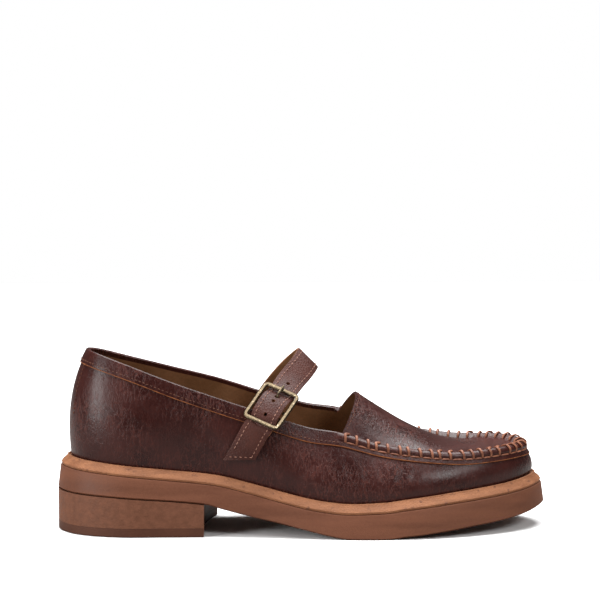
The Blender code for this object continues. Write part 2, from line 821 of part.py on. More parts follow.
def build_frame(collection, cutters, material):
    """Rounded rectangle of flat bar, with the centre bar bent down behind the strap."""
    centre, along, across, out = buckle_axes()
    half_long = (FRAME_LENGTH - FRAME_BAR) / 2
    half_wide = (FRAME_WIDTH - FRAME_BAR) / 2
    radius = FRAME_CORNER - FRAME_BAR / 2
    path, firsts = [], []
    for up, side, start in ((1, 1, 0), (1, -1, 90), (-1, -1, 180), (-1, 1, 270)):
        hub = centre + along * up * (half_long - radius) + across * side * (half_wide - radius)
        for step in range(CORNER_STEPS + 1):
            turn = math.radians(start + step * 90 / CORNER_STEPS)
            radial = along * math.sin(turn) + across * math.cos(turn)
            path.append(hub + radial * radius)
            firsts.append(radial)
    frame = sweep_object("buckle_frame", path, firsts, [out] * len(path),
                         rounded_bar(FRAME_BAR, FRAME_THICK), collection, material, closed=True)
    sink = -CENTRE_BAR_SINK
    bend = CENTRE_BAR_BEND
    bar_path = [
        buckle_point(0, -half_wide, BAR_ROOT),
        buckle_point(0, -half_wide, sink + bend),
        buckle_point(0, bend - half_wide, sink),
        buckle_point(0, half_wide - bend, sink),
        buckle_point(0, half_wide, sink + bend),
        buckle_point(0, half_wide, BAR_ROOT),
    ]
    seconds = [across, unit(across + out), out, out, unit(out - across), -across]
    bar = sweep_object("centre_bar", bar_path, [along] * len(bar_path), seconds,
                       circle(CENTRE_BAR_RADIUS, HOLE_SIDES), cutters, material)
    cut(frame, bar, "UNION")
    return frame


def build_tab(collection, cutters, material):
    """Strip sewn on the quarter that folds round the centre bar, with a slot for the prong."""
    hook = CENTRE_BAR_RADIUS + GAP + TAB_THICK
    turns = [math.radians(degrees) for degrees in range(-105, 196, 30)]
    fold = [Level(hook * math.cos(turn), hook * math.sin(turn) - CENTRE_BAR_SINK) for turn in turns]
    rows = hug_rows(TAB_ON_WALL, -1) + level_rows(TAB_OVER_EDGE + fold)
    surface = Surface()
    rings = []
    for point, ahead, side, face in zip(*line_frames(rows)):
        corners = ((-1, 0), (1, 0), (1, TAB_THICK), (-1, TAB_THICK))
        ring = [point + side * (sign * TAB_WIDTH / 2) + face * depth for sign, depth in corners]
        rings.append(surface.row(ring))
    for near, far in zip(rings, rings[1:]):
        surface.band(near, far, closed=True)
    surface.faces.append(rings[0])
    surface.faces.append(rings[-1][::-1])
    tab = new_object("buckle_tab", surface.points, surface.faces, collection, material)
    half = PRONG_SLOT_WIDTH / 2
    start = buckle_point(0, -half, -CENTRE_BAR_SINK)
    end = buckle_point(0, half, -CENTRE_BAR_SINK)
    slot = new_rod("prong_slot", start, end, PRONG_SLOT_RADIUS, ROUND_SIDES, cutters)
    cut(tab, slot)
    return tab


def build_prong(collection, cutters, material):
    """Pin with an eye round the centre bar, up through the strap and over the top bar."""
    across = buckle_axes()[2]
    sink = -CENTRE_BAR_SINK
    half = PRONG_EYE_WIDTH / 2
    eye_inner = CENTRE_BAR_RADIUS + PRONG_EYE_PLAY
    eye_outer = eye_inner + PRONG_EYE_WALL
    eye = new_rod("buckle_prong", buckle_point(0, -half, sink), buckle_point(0, half, sink),
                  eye_outer, ROUND_SIDES, collection, material)
    bore = new_rod("prong_bore", buckle_point(0, -2 * half, sink), buckle_point(0, 2 * half, sink),
                   eye_inner, ROUND_SIDES, cutters)
    path = [buckle_point(row.along, 0, row.out) for row in PRONG]
    run = unit(np.gradient(np.array(path), axis=0))
    seconds = [np.cross(across, direction) for direction in run]
    arm = sweep_object("prong_arm", path, [across] * len(path), seconds,
                       circle(PRONG_RADIUS, PRONG_SIDES), cutters, material)
    cut(eye, arm, "UNION")
    cut(eye, bore)
    return eye


def main():
    clear_scene()
    shoe = new_collection("loafer")
    cutters = new_collection("loafer_cutters")
    oxblood = new_material("upper_leather", (0.085, 0.022, 0.018), 0.35)
    strap_leather = new_material("strap_leather", (0.11, 0.03, 0.022), 0.4)
    tan = new_material("welt_leather", (0.36, 0.17, 0.08), 0.6)
    sole_brown = new_material("sole_brown", (0.23, 0.09, 0.045), 0.55)
    heel_brown = new_material("heel_brown", (0.21, 0.09, 0.048), 0.6)
    lift_brown = new_material("lift_brown", (0.14, 0.055, 0.028), 0.6)
    lining = new_material("lining", (0.16, 0.07, 0.03), 0.7)
    brass = new_material("antique_brass", (0.32, 0.24, 0.14), 0.35, 1.0)
    prong_brass = new_material("prong_brass", (0.34, 0.26, 0.16), 0.35, 1.0)
    tab_leather = new_material("tab_leather", (0.09, 0.025, 0.02), 0.45)

    build_upper(shoe, oxblood)
    build_insole(shoe, lining)
    build_welt(shoe, tan)
    build_outsole(shoe, sole_brown)
    heel_slab("heel_block", ((LIFT + 0.1, 0.0), (None, 0.0)), shoe, heel_brown)
    lift_levels = ((0.0, LIFT_EDGE), (LIFT_EDGE, 0.0), (LIFT, 0.0))
    heel_slab("top_lift", lift_levels, shoe, lift_brown)
    build_strap(shoe, cutters, strap_leather)
    build_frame(shoe, cutters, brass)
    build_tab(shoe, cutters, tab_leather)
    build_prong(shoe, cutters, prong_brass)


main()
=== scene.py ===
"""Looks of the buckled loafer: leather, seams, cords, sole, brass, light and camera."""

import math
from collections import namedtuple
from functools import lru_cache

import bmesh
import bpy
import numpy as np
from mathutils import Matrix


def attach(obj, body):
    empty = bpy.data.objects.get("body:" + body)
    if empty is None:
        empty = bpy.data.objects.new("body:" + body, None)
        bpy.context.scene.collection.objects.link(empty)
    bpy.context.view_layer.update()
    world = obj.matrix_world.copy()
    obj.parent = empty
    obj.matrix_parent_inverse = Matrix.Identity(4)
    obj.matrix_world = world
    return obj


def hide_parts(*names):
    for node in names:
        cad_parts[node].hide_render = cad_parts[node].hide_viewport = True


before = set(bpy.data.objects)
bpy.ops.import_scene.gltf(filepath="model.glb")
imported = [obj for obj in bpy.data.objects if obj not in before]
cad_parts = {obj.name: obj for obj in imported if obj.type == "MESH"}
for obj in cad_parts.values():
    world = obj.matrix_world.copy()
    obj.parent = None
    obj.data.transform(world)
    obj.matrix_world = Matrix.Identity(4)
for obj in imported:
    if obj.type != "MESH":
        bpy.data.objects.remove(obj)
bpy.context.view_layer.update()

bpy.ops.object.select_all(action="DESELECT")
HERE = bpy.context.scene.collection
MM = 0.001

# Driving sizes.
GAP = 0.3                 # air between neighbouring pieces
LEATHER = 1.8             # upper wall, leather and lining together
BAND_WIDTH = 8.5          # topline band, from the collar edge down
BAND_STEP = 0.8           # how far the band and the seam strip stand proud
ROLL_WIDTH = 5.0          # rolled seam, from its crest down the wall
ROLL_HEIGHT = 1.9         # rolled seam, out from the wall
ROLL_INSIDE = 2.4         # from the roll's crest inwards to the foot of the plug
ROLL_DROP = 1.9           # the plug's foot below the roll's crest
THROAT_BOW = 10.0         # middle of the plug's throat edge ahead of its corners
WELT_WIDTH = 5.5          # from the upper's foot out to the welt's corner
WELT_FALL = 3.6           # the welt's corner below the upper's foot
WALL_TOP = 5.0            # outsole's top face below the upper's foot
WALL_FLARE = 1.6          # the sole wall leans out this much down its height
LIFT = 5.0                # top lift thickness
LIFT_EDGE = 0.6           # worn lower edge of the top lift
HEEL_FRONT_LATERAL = -54.5
HEEL_FRONT_MEDIAL = -46.5
HEEL_FRONT_HOLLOW = 3.7   # how deep the heel's front is hollowed
INSOLE = 2.4              # sock and board above the upper's foot

STRAP_WIDTH = 15.4
STRAP_THICK = 1.8
HOLES_AT = (20.7, 2.4, -6.8)   # along the strap from the buckle's middle
HOLE_RADIUS = 1.1
PRONG_HOLE_AT = 7.0
PRONG_HOLE_RADIUS = 1.6

# Mesh density.
STEPS_PER_STATION = 10
ROWS_BELOW_BAND = 26
RUNG_STEPS = 40
FRONT_STEPS = 30          # across the heel's hollowed front
HOLE_SIDES = 20
STRAP_STEPS = 8           # between two rows of the strap's tables
HOLE_REACH = 4.0          # half the length of the rods that cut the strap's holes

# Side profile: height of the tread and of the upper's foot along the shoe.
Profile = namedtuple("Profile", "x tread foot")
PROFILE = [
    Profile(-142, 23.6, 42.8),
    Profile(-113, 22.8, 40.2),
    Profile(-90, 21.4, 37.8),
    Profile(-54, 18.4, 34.3),
    Profile(-45, 15.8, 33.0),
    Profile(-30, 12.0, 29.4),
    Profile(-11, 7.8, 24.5),
    Profile(4, 4.2, 21.0),
    Profile(15, 1.7, 19.3),
    Profile(26, 0.0, 18.5),
    Profile(46, 0.0, 19.3),
    Profile(56, 1.2, 20.6),
    Profile(68, 2.3, 22.0),
    Profile(83, 4.1, 23.7),
    Profile(99, 6.0, 25.2),
    Profile(115, 7.8, 26.8),
    Profile(127, 9.6, 28.5),
    Profile(142, 13.2, 31.4),
]

# Stations round the last, from the heel's back along the lateral side to the toe and back.
# foot: where the upper meets the welt. low, high: how far the wall swells out from its foot
# and from its top edge. top: collar edge, or crest of the rolled seam.
Station = namedtuple("Station", "foot_x foot_y low high top_x top_y top_z")
STATIONS = [
    Station(-129.2, 0.0, 2.2, 11.0, -119.4, 0.0, 101.8),
    Station(-121.0, -18.6, 3.0, 9.0, -113.0, -13.2, 100.0),
    Station(-101.0, -28.0, 3.5, 7.0, -96.5, -21.0, 94.4),
    Station(-74.0, -28.7, 3.0, 5.0, -72.0, -26.2, 85.4),
    Station(-46.0, -29.2, 3.2, 4.0, -46.0, -28.3, 76.6),
    Station(-18.0, -32.4, 3.8, 4.0, -20.0, -28.8, 68.0),
    Station(8.0, -37.6, 4.0, 5.5, 3.0, -28.0, 60.2),
    Station(30.0, -41.0, 3.6, 8.0, 22.0, -27.2, 56.7),
    Station(53.0, -41.2, 3.0, 8.5, 43.0, -28.7, 50.6),
    Station(74.0, -38.4, 2.6, 8.0, 65.0, -29.2, 47.1),
    Station(94.0, -31.6, 2.5, 7.0, 85.0, -26.8, 45.4),
    Station(111.0, -22.8, 2.4, 6.4, 102.0, -21.5, 46.0),
    Station(125.0, -10.6, 2.3, 6.2, 117.0, -11.0, 46.7),
    Station(132.0, 4.0, 2.2, 6.4, 125.0, 3.0, 46.8),
    Station(127.6, 18.6, 2.3, 6.2, 119.6, 15.2, 48.6),
    Station(115.5, 29.4, 2.4, 6.4, 107.5, 24.0, 48.3),
    Station(98.5, 37.6, 2.6, 7.0, 91.0, 29.3, 47.7),
    Station(78.0, 42.6, 2.8, 8.0, 70.0, 31.5, 50.1),
    Station(55.0, 44.6, 3.0, 8.5, 47.0, 31.2, 55.4),
    Station(31.0, 42.4, 3.8, 8.0, 22.6, 29.2, 63.5),
    Station(8.0, 36.0, 4.2, 6.0, 4.0, 28.6, 66.4),
    Station(-18.0, 30.2, 4.2, 4.5, -20.0, 28.8, 73.0),
    Station(-46.0, 27.2, 4.0, 4.0, -46.0, 28.3, 81.2),
    Station(-74.0, 27.4, 3.4, 5.0, -72.0, 26.2, 88.0),
    Station(-101.0, 28.0, 3.5, 7.0, -96.5, 21.0, 94.8),
    Station(-121.0, 18.6, 3.0, 9.0, -113.0, 13.2, 99.9),
]
THROAT_LATERAL = 7        # station of the plug's lateral corner
TOE = 13
THROAT_MEDIAL = 19

# Height of the plug's middle line along the shoe.
Crest = namedtuple("Crest", "x z")
CREST = [
    Crest(20, 84.5),
    Crest(32, 75.8),
    Crest(46, 66.4),
    Crest(59, 58.4),
    Crest(72, 51.9),
    Crest(82, 48.2),
    Crest(95, 45.9),
    Crest(110, 45.2),
    Crest(124, 45.4),
]

# Buckle: centre of the frame, direction up the strap, direction across it.
BUCKLE_AT = (-17.0, -30.7, 72.6)
BUCKLE_ALONG = (0.506, 0.583, 0.636)
BUCKLE_ACROSS = (0.863, -0.371, -0.346)

# The strap's outer face along its middle line, in four stretches from the tail to the medial end.
# Hug: a place on the quarter, hug out from its wall. Level: a place in the frame, measured along
# and out of its middle plane. Arch: a place in the air. across_*: the way to its front edge.
Hug = namedtuple("Hug", "x z hug across_x across_y across_z")
Level = namedtuple("Level", "along out")
Arch = namedtuple("Arch", "x y z across_x across_y across_z")
STRAP_TAIL = [
    Hug(-35.0, 43.0, 3.0, 0.866, -0.05, -0.50),
    Hug(-31.9, 48.8, 3.4, 0.866, -0.10, -0.50),
    Hug(-28.8, 54.6, 3.9, 0.866, -0.15, -0.48),
    Hug(-26.0, 59.8, 5.5, 0.866, -0.24, -0.44),
]
STRAP_IN_BUCKLE = [
    Level(-13.6, -2.1),
    Level(-10.8, -1.9),
    Level(-6.4, 0.8),
    Level(0.0, 1.9),
    Level(4.0, 1.7),
    Level(7.0, 0.6),
    Level(10.8, -1.6),
    Level(13.6, -1.6),
]
STRAP_ARCH = [
    Arch(-5.4, -14.6, 85.2, 0.83, -0.28, -0.46),
    Arch(0.8, -8.0, 91.2, 0.77, -0.14, -0.60),
    Arch(4.4, -1.4, 95.0, 0.72, -0.03, -0.69),
    Arch(5.0, 4.6, 95.7, 0.71, 0.03, -0.70),
    Arch(2.4, 12.4, 93.2, 0.75, 0.12, -0.64),
    Arch(-3.8, 21.6, 86.9, 0.81, 0.26, -0.52),
    Arch(-10.6, 29.6, 78.4, 0.85, 0.30, -0.43),
    Arch(-16.0, 35.0, 69.8, 0.866, 0.22, -0.43),
]
STRAP_MEDIAL_END = [
    Hug(-20.4, 61.6, 3.9, 0.866, 0.16, -0.47),
    Hug(-24.2, 54.2, 3.3, 0.866, 0.10, -0.49),
    Hug(-27.4, 48.0, 2.9, 0.866, 0.05, -0.50),
]

TAIL_CUT = 0.577          # slant that makes both strap ends parallel to the sole
CUT_FADE = 14.0           # length over which the slant dies out


# Small helpers.

def unit(vector):
    vector = np.asarray(vector, float)
    length = np.linalg.norm(vector, axis=-1, keepdims=True)
    return vector / np.maximum(length, 1e-9)


def flat_lookup(rows, column, x):
    """Smooth curve through a table's rows that never overshoots and keeps level runs level."""
    xs = np.array([row.x for row in rows], float)
    ys = np.array([getattr(row, column) for row in rows], float)
    step = np.diff(xs)
    slope = np.diff(ys) / step
    before, after = slope[:-1], slope[1:]
    same_way = before * after > 0
    product = np.where(same_way, before * after, 0.0)
    total = np.where(same_way, before + after, 1.0)
    middle = 2.0 * product / total
    tangent = np.concatenate([[slope[0]], middle, [slope[-1]]])
    x = np.clip(x, xs[0], xs[-1])
    cell = np.clip(np.searchsorted(xs, x, side="right") - 1, 0, len(xs) - 2)
    u = (x - xs[cell]) / step[cell]
    rise = ys[cell] * (1 + 2 * u) * (1 - u) ** 2 + ys[cell + 1] * u * u * (3 - 2 * u)
    lean = tangent[cell] * u * (1 - u) ** 2 - tangent[cell + 1] * u * u * (1 - u)
    return rise + lean * step[cell]


def spline(points, per_span, closed):
    """Catmull-Rom curve through rows of numbers, with per_span steps between neighbours."""
    points = np.asarray(points, float)
    count = len(points)
    if closed:
        padded = np.vstack([points[-1:], points, points[:2]])
        spans = count
    else:
        first = 2 * points[0] - points[1]
        last = 2 * points[-1] - points[-2]
        padded = np.vstack([first, points, last])
        spans = count - 1
    out = []
    for span in range(spans):
        a, b, c, d = padded[span:span + 4]
        for step in range(per_span):
            u = step / per_span
            curve = 2 * b + (c - a) * u + (2 * a - 5 * b + 4 * c - d) * u ** 2
            curve = curve + (3 * b - a - 3 * c + d) * u ** 3
            out.append(0.5 * curve)
    if not closed:
        out.append(points[-1])
    return np.array(out)


def distances(points):
    """Each point's distance from the first, along the line through them."""
    return np.append(0.0, np.cumsum(np.linalg.norm(np.diff(points, axis=0), axis=1)))


def foot_height(x):
    return flat_lookup(PROFILE, "foot", x)


def tread_height(x):
    return flat_lookup(PROFILE, "tread", x)


def outward(ring):
    """Level unit vectors that point out of a closed ring, one per point."""
    ahead = np.roll(ring, -1, axis=0)
    behind = np.roll(ring, 1, axis=0)
    run = ahead - behind
    side = np.stack([run[:, 1], -run[:, 0], np.zeros(len(ring))], axis=1)
    return unit(side)


# Objects.

def sole_middle():
    """Middle of the sole's outline, which becomes the origin."""
    ring = tread_ring()
    middle = (ring.min(axis=0) + ring.max(axis=0)) / 2
    return np.array([middle[0], middle[1], 0.0])


def new_object(name, points, faces, material=None):
    """One closed mesh from points in millimetres, with its faces turned outwards."""
    places = (np.asarray(points) - sole_middle()) * MM
    mesh = bpy.data.meshes.new(name)
    mesh.from_pydata([tuple(place) for place in places], [], faces)
    work = bmesh.new()
    work.from_mesh(mesh)
    bmesh.ops.recalc_face_normals(work, faces=work.faces)
    work.to_mesh(mesh)
    work.free()
    thing = bpy.data.objects.new(name, mesh)
    HERE.objects.link(thing)
    if material:
        mesh.materials.append(material)
    return thing


def cut(target, tool):
    """Takes the tool's shape out of the target, and removes the tool."""
    modifier = target.modifiers.new(tool.name, "BOOLEAN")
    modifier.operation = "DIFFERENCE"
    modifier.solver = "EXACT"
    modifier.object = tool
    bpy.context.view_layer.objects.active = target
    bpy.ops.object.modifier_apply(modifier=modifier.name)
    bpy.data.objects.remove(tool, do_unlink=True)


class Surface:
    """Collects points in named rows and the faces between them."""

    def __init__(self):
        self.points = []
        self.faces = []

    def row(self, points):
        start = len(self.points)
        self.points.extend(np.asarray(points))
        return list(range(start, start + len(points)))

    def band(self, low, high, closed=False):
        count = len(low)
        last = count if closed else count - 1
        for i in range(last):
            j = (i + 1) % count
            quad = [low[i], low[j], high[j], high[i]]
            corners = [index for n, index in enumerate(quad) if index not in quad[:n]]
            if len(corners) > 2:
                self.faces.append(corners)

    def loft(self, rows, loop=False):
        """Bands between neighbouring closed rows, and from the last to the first if loop."""
        following = rows[1:] + rows[:1] if loop else rows[1:]
        for low, high in zip(rows, following):
            self.band(low, high, closed=True)

    def fan(self, ring):
        """Closes a flat ring with triangles round its middle."""
        middle = self.row([np.mean([self.points[index] for index in ring], axis=0)])[0]
        for near, far in zip(ring, ring[1:] + ring[:1]):
            self.faces.append([near, far, middle])

    def cap(self, ring):
        """Closes an even ring with straight rungs from its lateral to its medial half."""
        half = len(ring) // 2
        lateral = ring[:half + 1]
        medial = [ring[0]] + ring[:half - 1:-1]
        self.band(lateral, medial)


# The last's wall and the plug, as plain surfaces.

@lru_cache(maxsize=None)
def wall_stations():
    """Fine stations round the shoe: foot points, handles and top points."""
    table = spline(STATIONS, STEPS_PER_STATION, closed=True)
    foot = np.stack([table[:, 0], table[:, 1], foot_height(table[:, 0])], axis=1)
    top = table[:, 4:7]
    return foot, table[:, 2:3], table[:, 3:4], top


def wall_point(share):
    """Points of the plain wall: share runs from 0 at the foot to 1 at the top, per station."""
    foot, low, high, top = wall_stations()
    out = outward(foot)
    climb = (top - foot) * np.array([0.0, 0.0, 1.0])
    first = foot + out * low + climb / 3
    second = top + out * high - climb / 3
    share = np.reshape(share * np.ones(len(foot)), (-1, 1))
    rest = 1 - share
    near = foot * rest ** 3 + 3 * first * rest ** 2 * share
    return near + 3 * second * rest * share ** 2 + top * share ** 3


def wall_normal(share):
    delta = 0.01
    low = np.maximum(share - delta, 0.0)
    high = np.minimum(share + delta, 1.0)
    up = wall_point(high) - wall_point(low)
    ring = wall_point(share)
    along = np.roll(ring, -1, axis=0) - np.roll(ring, 1, axis=0)
    return unit(np.cross(along, up))


@lru_cache(maxsize=None)
def share_below_top(distance):
    """Per station, the share at which the wall is this far below its top, along the wall."""
    shares = np.linspace(0.0, 1.0, 81)
    rows = np.array([wall_point(share) for share in shares])
    steps = np.linalg.norm(np.diff(rows, axis=0), axis=2)
    above = np.vstack([np.cumsum(steps[::-1], axis=0)[::-1], np.zeros(steps.shape[1])])
    found = [np.interp(-distance, -above[:, i], shares) for i in range(above.shape[1])]
    return np.array(found)


def seam_weight():
    """1 along the rolled seam, 0 along the collar."""
    count = len(STATIONS) * STEPS_PER_STATION
    weight = np.zeros(count)
    weight[THROAT_LATERAL * STEPS_PER_STATION:THROAT_MEDIAL * STEPS_PER_STATION + 1] = 1.0
    return weight


def roll_profile(distance):
    """How far the roll stands out of the wall at this distance below its crest."""
    across = (2 * distance / ROLL_WIDTH - 1)
    return ROLL_HEIGHT * math.sqrt(max(0.0, 1 - across * across))


def plug_rungs(drop):
    """Rows of points across the plug, from the throat edge to the toe, drop below its top."""
    top = wall_point(1.0)
    inward = -outward(top)
    foot = top + inward * ROLL_INSIDE - np.array([0.0, 0.0, ROLL_DROP])
    first = THROAT_LATERAL * STEPS_PER_STATION
    toe = TOE * STEPS_PER_STATION
    last = THROAT_MEDIAL * STEPS_PER_STATION
    rungs = []
    for step in range(toe - first):
        lateral, medial = foot[first + step], foot[last - step]
        nearness = max(0.0, 1 - step / (0.62 * (toe - first)))
        rung = []
        for u in np.linspace(0.0, 1.0, RUNG_STEPS + 1):
            across = 2 * u - 1
            dome = 0.7 * (1 - across ** 2) + 0.3 * (1 - across ** 4)
            point = lateral * (1 - u) + medial * u
            middle = (lateral + medial) / 2
            bow = THROAT_BOW * nearness
            rise = flat_lookup(CREST, "z", middle[0] + bow) - middle[2]
            point = point + np.array([bow * dome, 0.0, rise * dome])
            rung.append(point)
        rungs.append(np.array(rung))
    rungs.append(np.array([foot[toe]]))
    if drop:
        rungs = drop_rungs(rungs, drop)
    return rungs


def drop_rungs(rungs, drop):
    """Moves each rung into the shoe, square to the plug's surface."""
    moved = []
    for n, rung in enumerate(rungs[:-1]):
        ahead = rungs[n + 1] if n + 2 < len(rungs) else rung
        behind = rungs[n - 1] if n else rung
        along = ahead - behind
        across = np.gradient(rung, axis=0)
        normal = unit(np.cross(along, across))
        moved.append(rung - normal * np.sign(normal[:, 2:3]) * drop)
    tip = rungs[-1] - np.array([0.0, 0.0, drop])
    moved.append(tip)
    return moved


# The sole.

def foot_ring():
    return wall_stations()[0]


def offset_ring(out, up):
    """The upper's foot line moved outwards and up."""
    ring = foot_ring()
    return ring + outward(ring) * out + np.array([0.0, 0.0, up])


def tread_ring():
    """Bottom edge of the sole wall."""
    ring = offset_ring(WELT_WIDTH + 0.3 + WALL_FLARE, 0.0)
    ring[:, 2] = tread_height(ring[:, 0])
    return ring


def build_welt(material):
    """A strip with a lip beside the upper and a face that slopes down to its corner."""
    section = [
        (-4.0, -WALL_TOP + GAP),
        (-4.0, -GAP),
        (0.9, -GAP),
        (1.3, 0.7),
        (2.1, 0.6),
        (2.4, -0.4),
        (4.9, -2.5),
        (WELT_WIDTH, -WELT_FALL),
        (WELT_WIDTH - 0.4, -WALL_TOP + GAP),
    ]
    surface = Surface()
    rows = [surface.row(offset_ring(out, up)) for out, up in section]
    surface.loft(rows, loop=True)
    return new_object("welt_strip", surface.points, surface.faces, material)


def build_outsole(material):
    """The thick sole: a rounded top corner, a wall that flares out and a rounded tread edge."""
    bottom = tread_ring()
    out = outward(foot_ring())
    up = np.array([0.0, 0.0, 1.0])
    shoulder = offset_ring(WELT_WIDTH + 0.5, -WALL_TOP - 0.9)
    surface = Surface()
    rows = [
        surface.row(offset_ring(WELT_WIDTH - 6.0, -WALL_TOP)),
        surface.row(offset_ring(WELT_WIDTH - 0.2, -WALL_TOP)),
        surface.row(offset_ring(WELT_WIDTH + 0.3, -WALL_TOP - 0.3)),
        surface.row(shoulder),
        surface.row(shoulder * 0.5 + (bottom + up * 0.8) * 0.5),
        surface.row(bottom + up * 0.8),
        surface.row(bottom - out * 0.9),
        surface.row(bottom - out * 7.0),
    ]
    surface.loft(rows)
    surface.cap(rows[0])
    surface.cap(rows[-1])
    return new_object("sole_unit", surface.points, surface.faces, material)


def build_insole(material):
    """Board between the welt's inner edge and a sock that fills the upper's floor."""
    section = [
        (-4.0 - GAP, -WALL_TOP + GAP),
        (-4.0 - GAP, 0.0),
        (-LEATHER - GAP, 0.0),
        (-LEATHER - GAP, INSOLE - 0.6),
        (-LEATHER - GAP - 0.7, INSOLE),
        (-LEATHER - GAP - 7.0, INSOLE),
    ]
    surface = Surface()
    rows = [surface.row(offset_ring(out, up)) for out, up in section]
    surface.loft(rows)
    surface.cap(rows[0])
    surface.cap(rows[-1])
    return new_object("insole_sock", surface.points, surface.faces, material)


def heel_side(side, front):
    """The points of one side that lie behind the heel's front line, and one on that line."""
    behind = side[side[:, 0] < front]
    ahead = side[len(behind)]
    share = (front - behind[-1][0]) / (ahead[0] - behind[-1][0])
    return np.vstack([behind, behind[-1] + (ahead - behind[-1]) * share])


def heel_front(lateral, medial):
    """Points of the heel's hollowed front between its two corners."""
    points = []
    for u in np.linspace(0.0, 1.0, FRONT_STEPS + 1)[1:-1]:
        point = lateral[-1] * (1 - u) + medial[-1] * u
        point[0] -= HEEL_FRONT_HOLLOW * (1 - (2 * u - 1) ** 2)
        points.append(point)
    return np.array(points)


def heel_outline(inset):
    """The heel's lateral side, hollowed front and medial side, moved in by an inset."""
    ring = tread_ring() - outward(foot_ring()) * inset
    half = len(ring) // 2
    lateral = heel_side(ring[:half], HEEL_FRONT_LATERAL - inset)
    medial = heel_side(np.roll(ring[::-1], 1, axis=0)[:half], HEEL_FRONT_MEDIAL - inset)
    return lateral, heel_front(lateral, medial), medial


def heel_slab(name, levels, material):
    """Block with the heel's outline through levels of (height, inset), bottom first.

    A height of None means just under the sole.
    """
    surface = Surface()
    rows = []
    for height, inset in levels:
        lateral, front, medial = heel_outline(inset)
        sides = []
        for part in (lateral, front, medial[:0:-1]):
            level = part.copy()
            level[:, 2] = tread_height(part[:, 0]) - 1.5 * GAP if height is None else height
            sides.append(surface.row(level))
        left, middle, right = sides
        rows.append(left + middle + right)
        ends = (left, middle, [left[0]] + right[::-1])
    surface.loft(rows)
    surface.fan(rows[0])
    if levels[-1][0] is None:
        left, middle, right = ends
        shared = min(len(left), len(right))
        surface.band(left[:shared], right[:shared])
        surface.faces.append(left[shared - 1:] + middle + right[shared - 1:][::-1])
    else:
        surface.fan(rows[-1])
    return new_object(name, surface.points, surface.faces, material)


# The strap and its buckle.

def wall_y(x, z, side):
    """The outer wall's y at a height and station of one side: side is -1 lateral, 1 medial."""
    rows = np.array(outer_rows())
    half = rows.shape[1] // 2
    part = rows[:, :half + 1] if side < 0 else rows[:, half:]
    heights, depths = [], []
    for row in part:
        order = np.argsort(row[:, 0])
        heights.append(np.interp(x, row[order, 0], row[order, 2]))
        depths.append(np.interp(x, row[order, 0], row[order, 1]))
    order = np.argsort(heights)
    return np.interp(z, np.array(heights)[order], np.array(depths)[order])


def hug_rows(table, side):
    """A table's places on the quarter, with the direction across the strap."""
    rows = []
    for row in table:
        y = wall_y(row.x, row.z, side) + side * row.hug
        rows.append((row.x, y, row.z, row.across_x, row.across_y, row.across_z))
    return rows


def level_rows(table):
    """A table's places in the buckle's frame, with the direction across the strap."""
    return [(*buckle_point(row.along, 0, row.out), *BUCKLE_ACROSS) for row in table]


def line_frames(rows):
    """Points of a line with unit vectors along it, across it and out of it."""
    rows = np.array(rows)
    middle = rows[:, :3]
    along = unit(np.gradient(middle, axis=0))
    across = rows[:, 3:]
    across = unit(across - along * np.sum(across * along, axis=1, keepdims=True))
    return middle, along, across, np.cross(across, along)


def strap_frames(per_span):
    rows = hug_rows(STRAP_TAIL, -1) + level_rows(STRAP_IN_BUCKLE)
    rows += [tuple(row) for row in STRAP_ARCH] + hug_rows(STRAP_MEDIAL_END, 1)
    return line_frames(spline(rows, per_span, closed=False))


def build_strap(material):
    middle, along, across, out = strap_frames(STRAP_STEPS)
    length = distances(middle)
    from_tail = np.clip(1 - length / CUT_FADE, 0, 1)
    from_end = np.clip(1 - (length[-1] - length) / CUT_FADE, 0, 1)
    slant = TAIL_CUT * (from_tail - from_end)
    surface = Surface()
    columns = []
    section = [(-0.5, 0.12), (-0.47, 0.0), (0.0, 0.0), (0.47, 0.0), (0.5, 0.12)]
    section += [(0.5, 0.85), (0.47, 1.0), (0.0, 1.0), (-0.47, 1.0), (-0.5, 0.85)]
    for point, ahead, side, face, cut_slope in zip(middle, along, across, out, slant):
        ring = []
        for wide, deep in section:
            offset = wide * STRAP_WIDTH
            place = point + side * offset + ahead * (offset * cut_slope)
            ring.append(place - face * (deep * STRAP_THICK))
        columns.append(surface.row(ring))
    surface.loft(columns)
    surface.faces.append(columns[0])
    surface.faces.append(columns[-1][::-1])
    strap = new_object("strap_band", surface.points, surface.faces, material)
    for number, at in enumerate(HOLES_AT + (PRONG_HOLE_AT,)):
        radius = PRONG_HOLE_RADIUS if at == PRONG_HOLE_AT else HOLE_RADIUS
        centre, direction = hole_place(at)
        reach = direction * HOLE_REACH
        cut(strap, new_rod(f"strap_hole_{number}", centre - reach, centre + reach, radius))
    return strap


def hole_place(at):
    """Centre and direction of a hole, from its distance up the strap from the buckle's middle."""
    middle, _, _, out = strap_frames(per_span=12)
    length = distances(middle)
    centre = np.argmin(np.linalg.norm(middle - buckle_point(0, 0, 1.9), axis=1))
    index = np.argmin(np.abs(length - (length[centre] + at)))
    return middle[index], out[index]


def circle(radius, sides):
    turns = np.arange(sides) * 2 * math.pi / sides
    return np.stack([radius * np.cos(turns), radius * np.sin(turns)], axis=1)


def new_rod(name, start, end, radius):
    """A straight round rod between two points."""
    axis = unit(end - start)
    spare = np.array([0.0, 0.0, 1.0]) if abs(axis[2]) < 0.8 else np.array([1.0, 0.0, 0.0])
    first = unit(np.cross(axis, spare))
    second = np.cross(axis, first)
    surface = Surface()
    rows = []
    for point in (start, end):
        ring = [point + first * a + second * b for a, b in circle(radius, HOLE_SIDES)]
        rows.append(surface.row(ring))
    surface.band(rows[0], rows[1], closed=True)
    surface.faces.append(rows[0])
    surface.faces.append(rows[1][::-1])
    return new_object(name, surface.points, surface.faces)


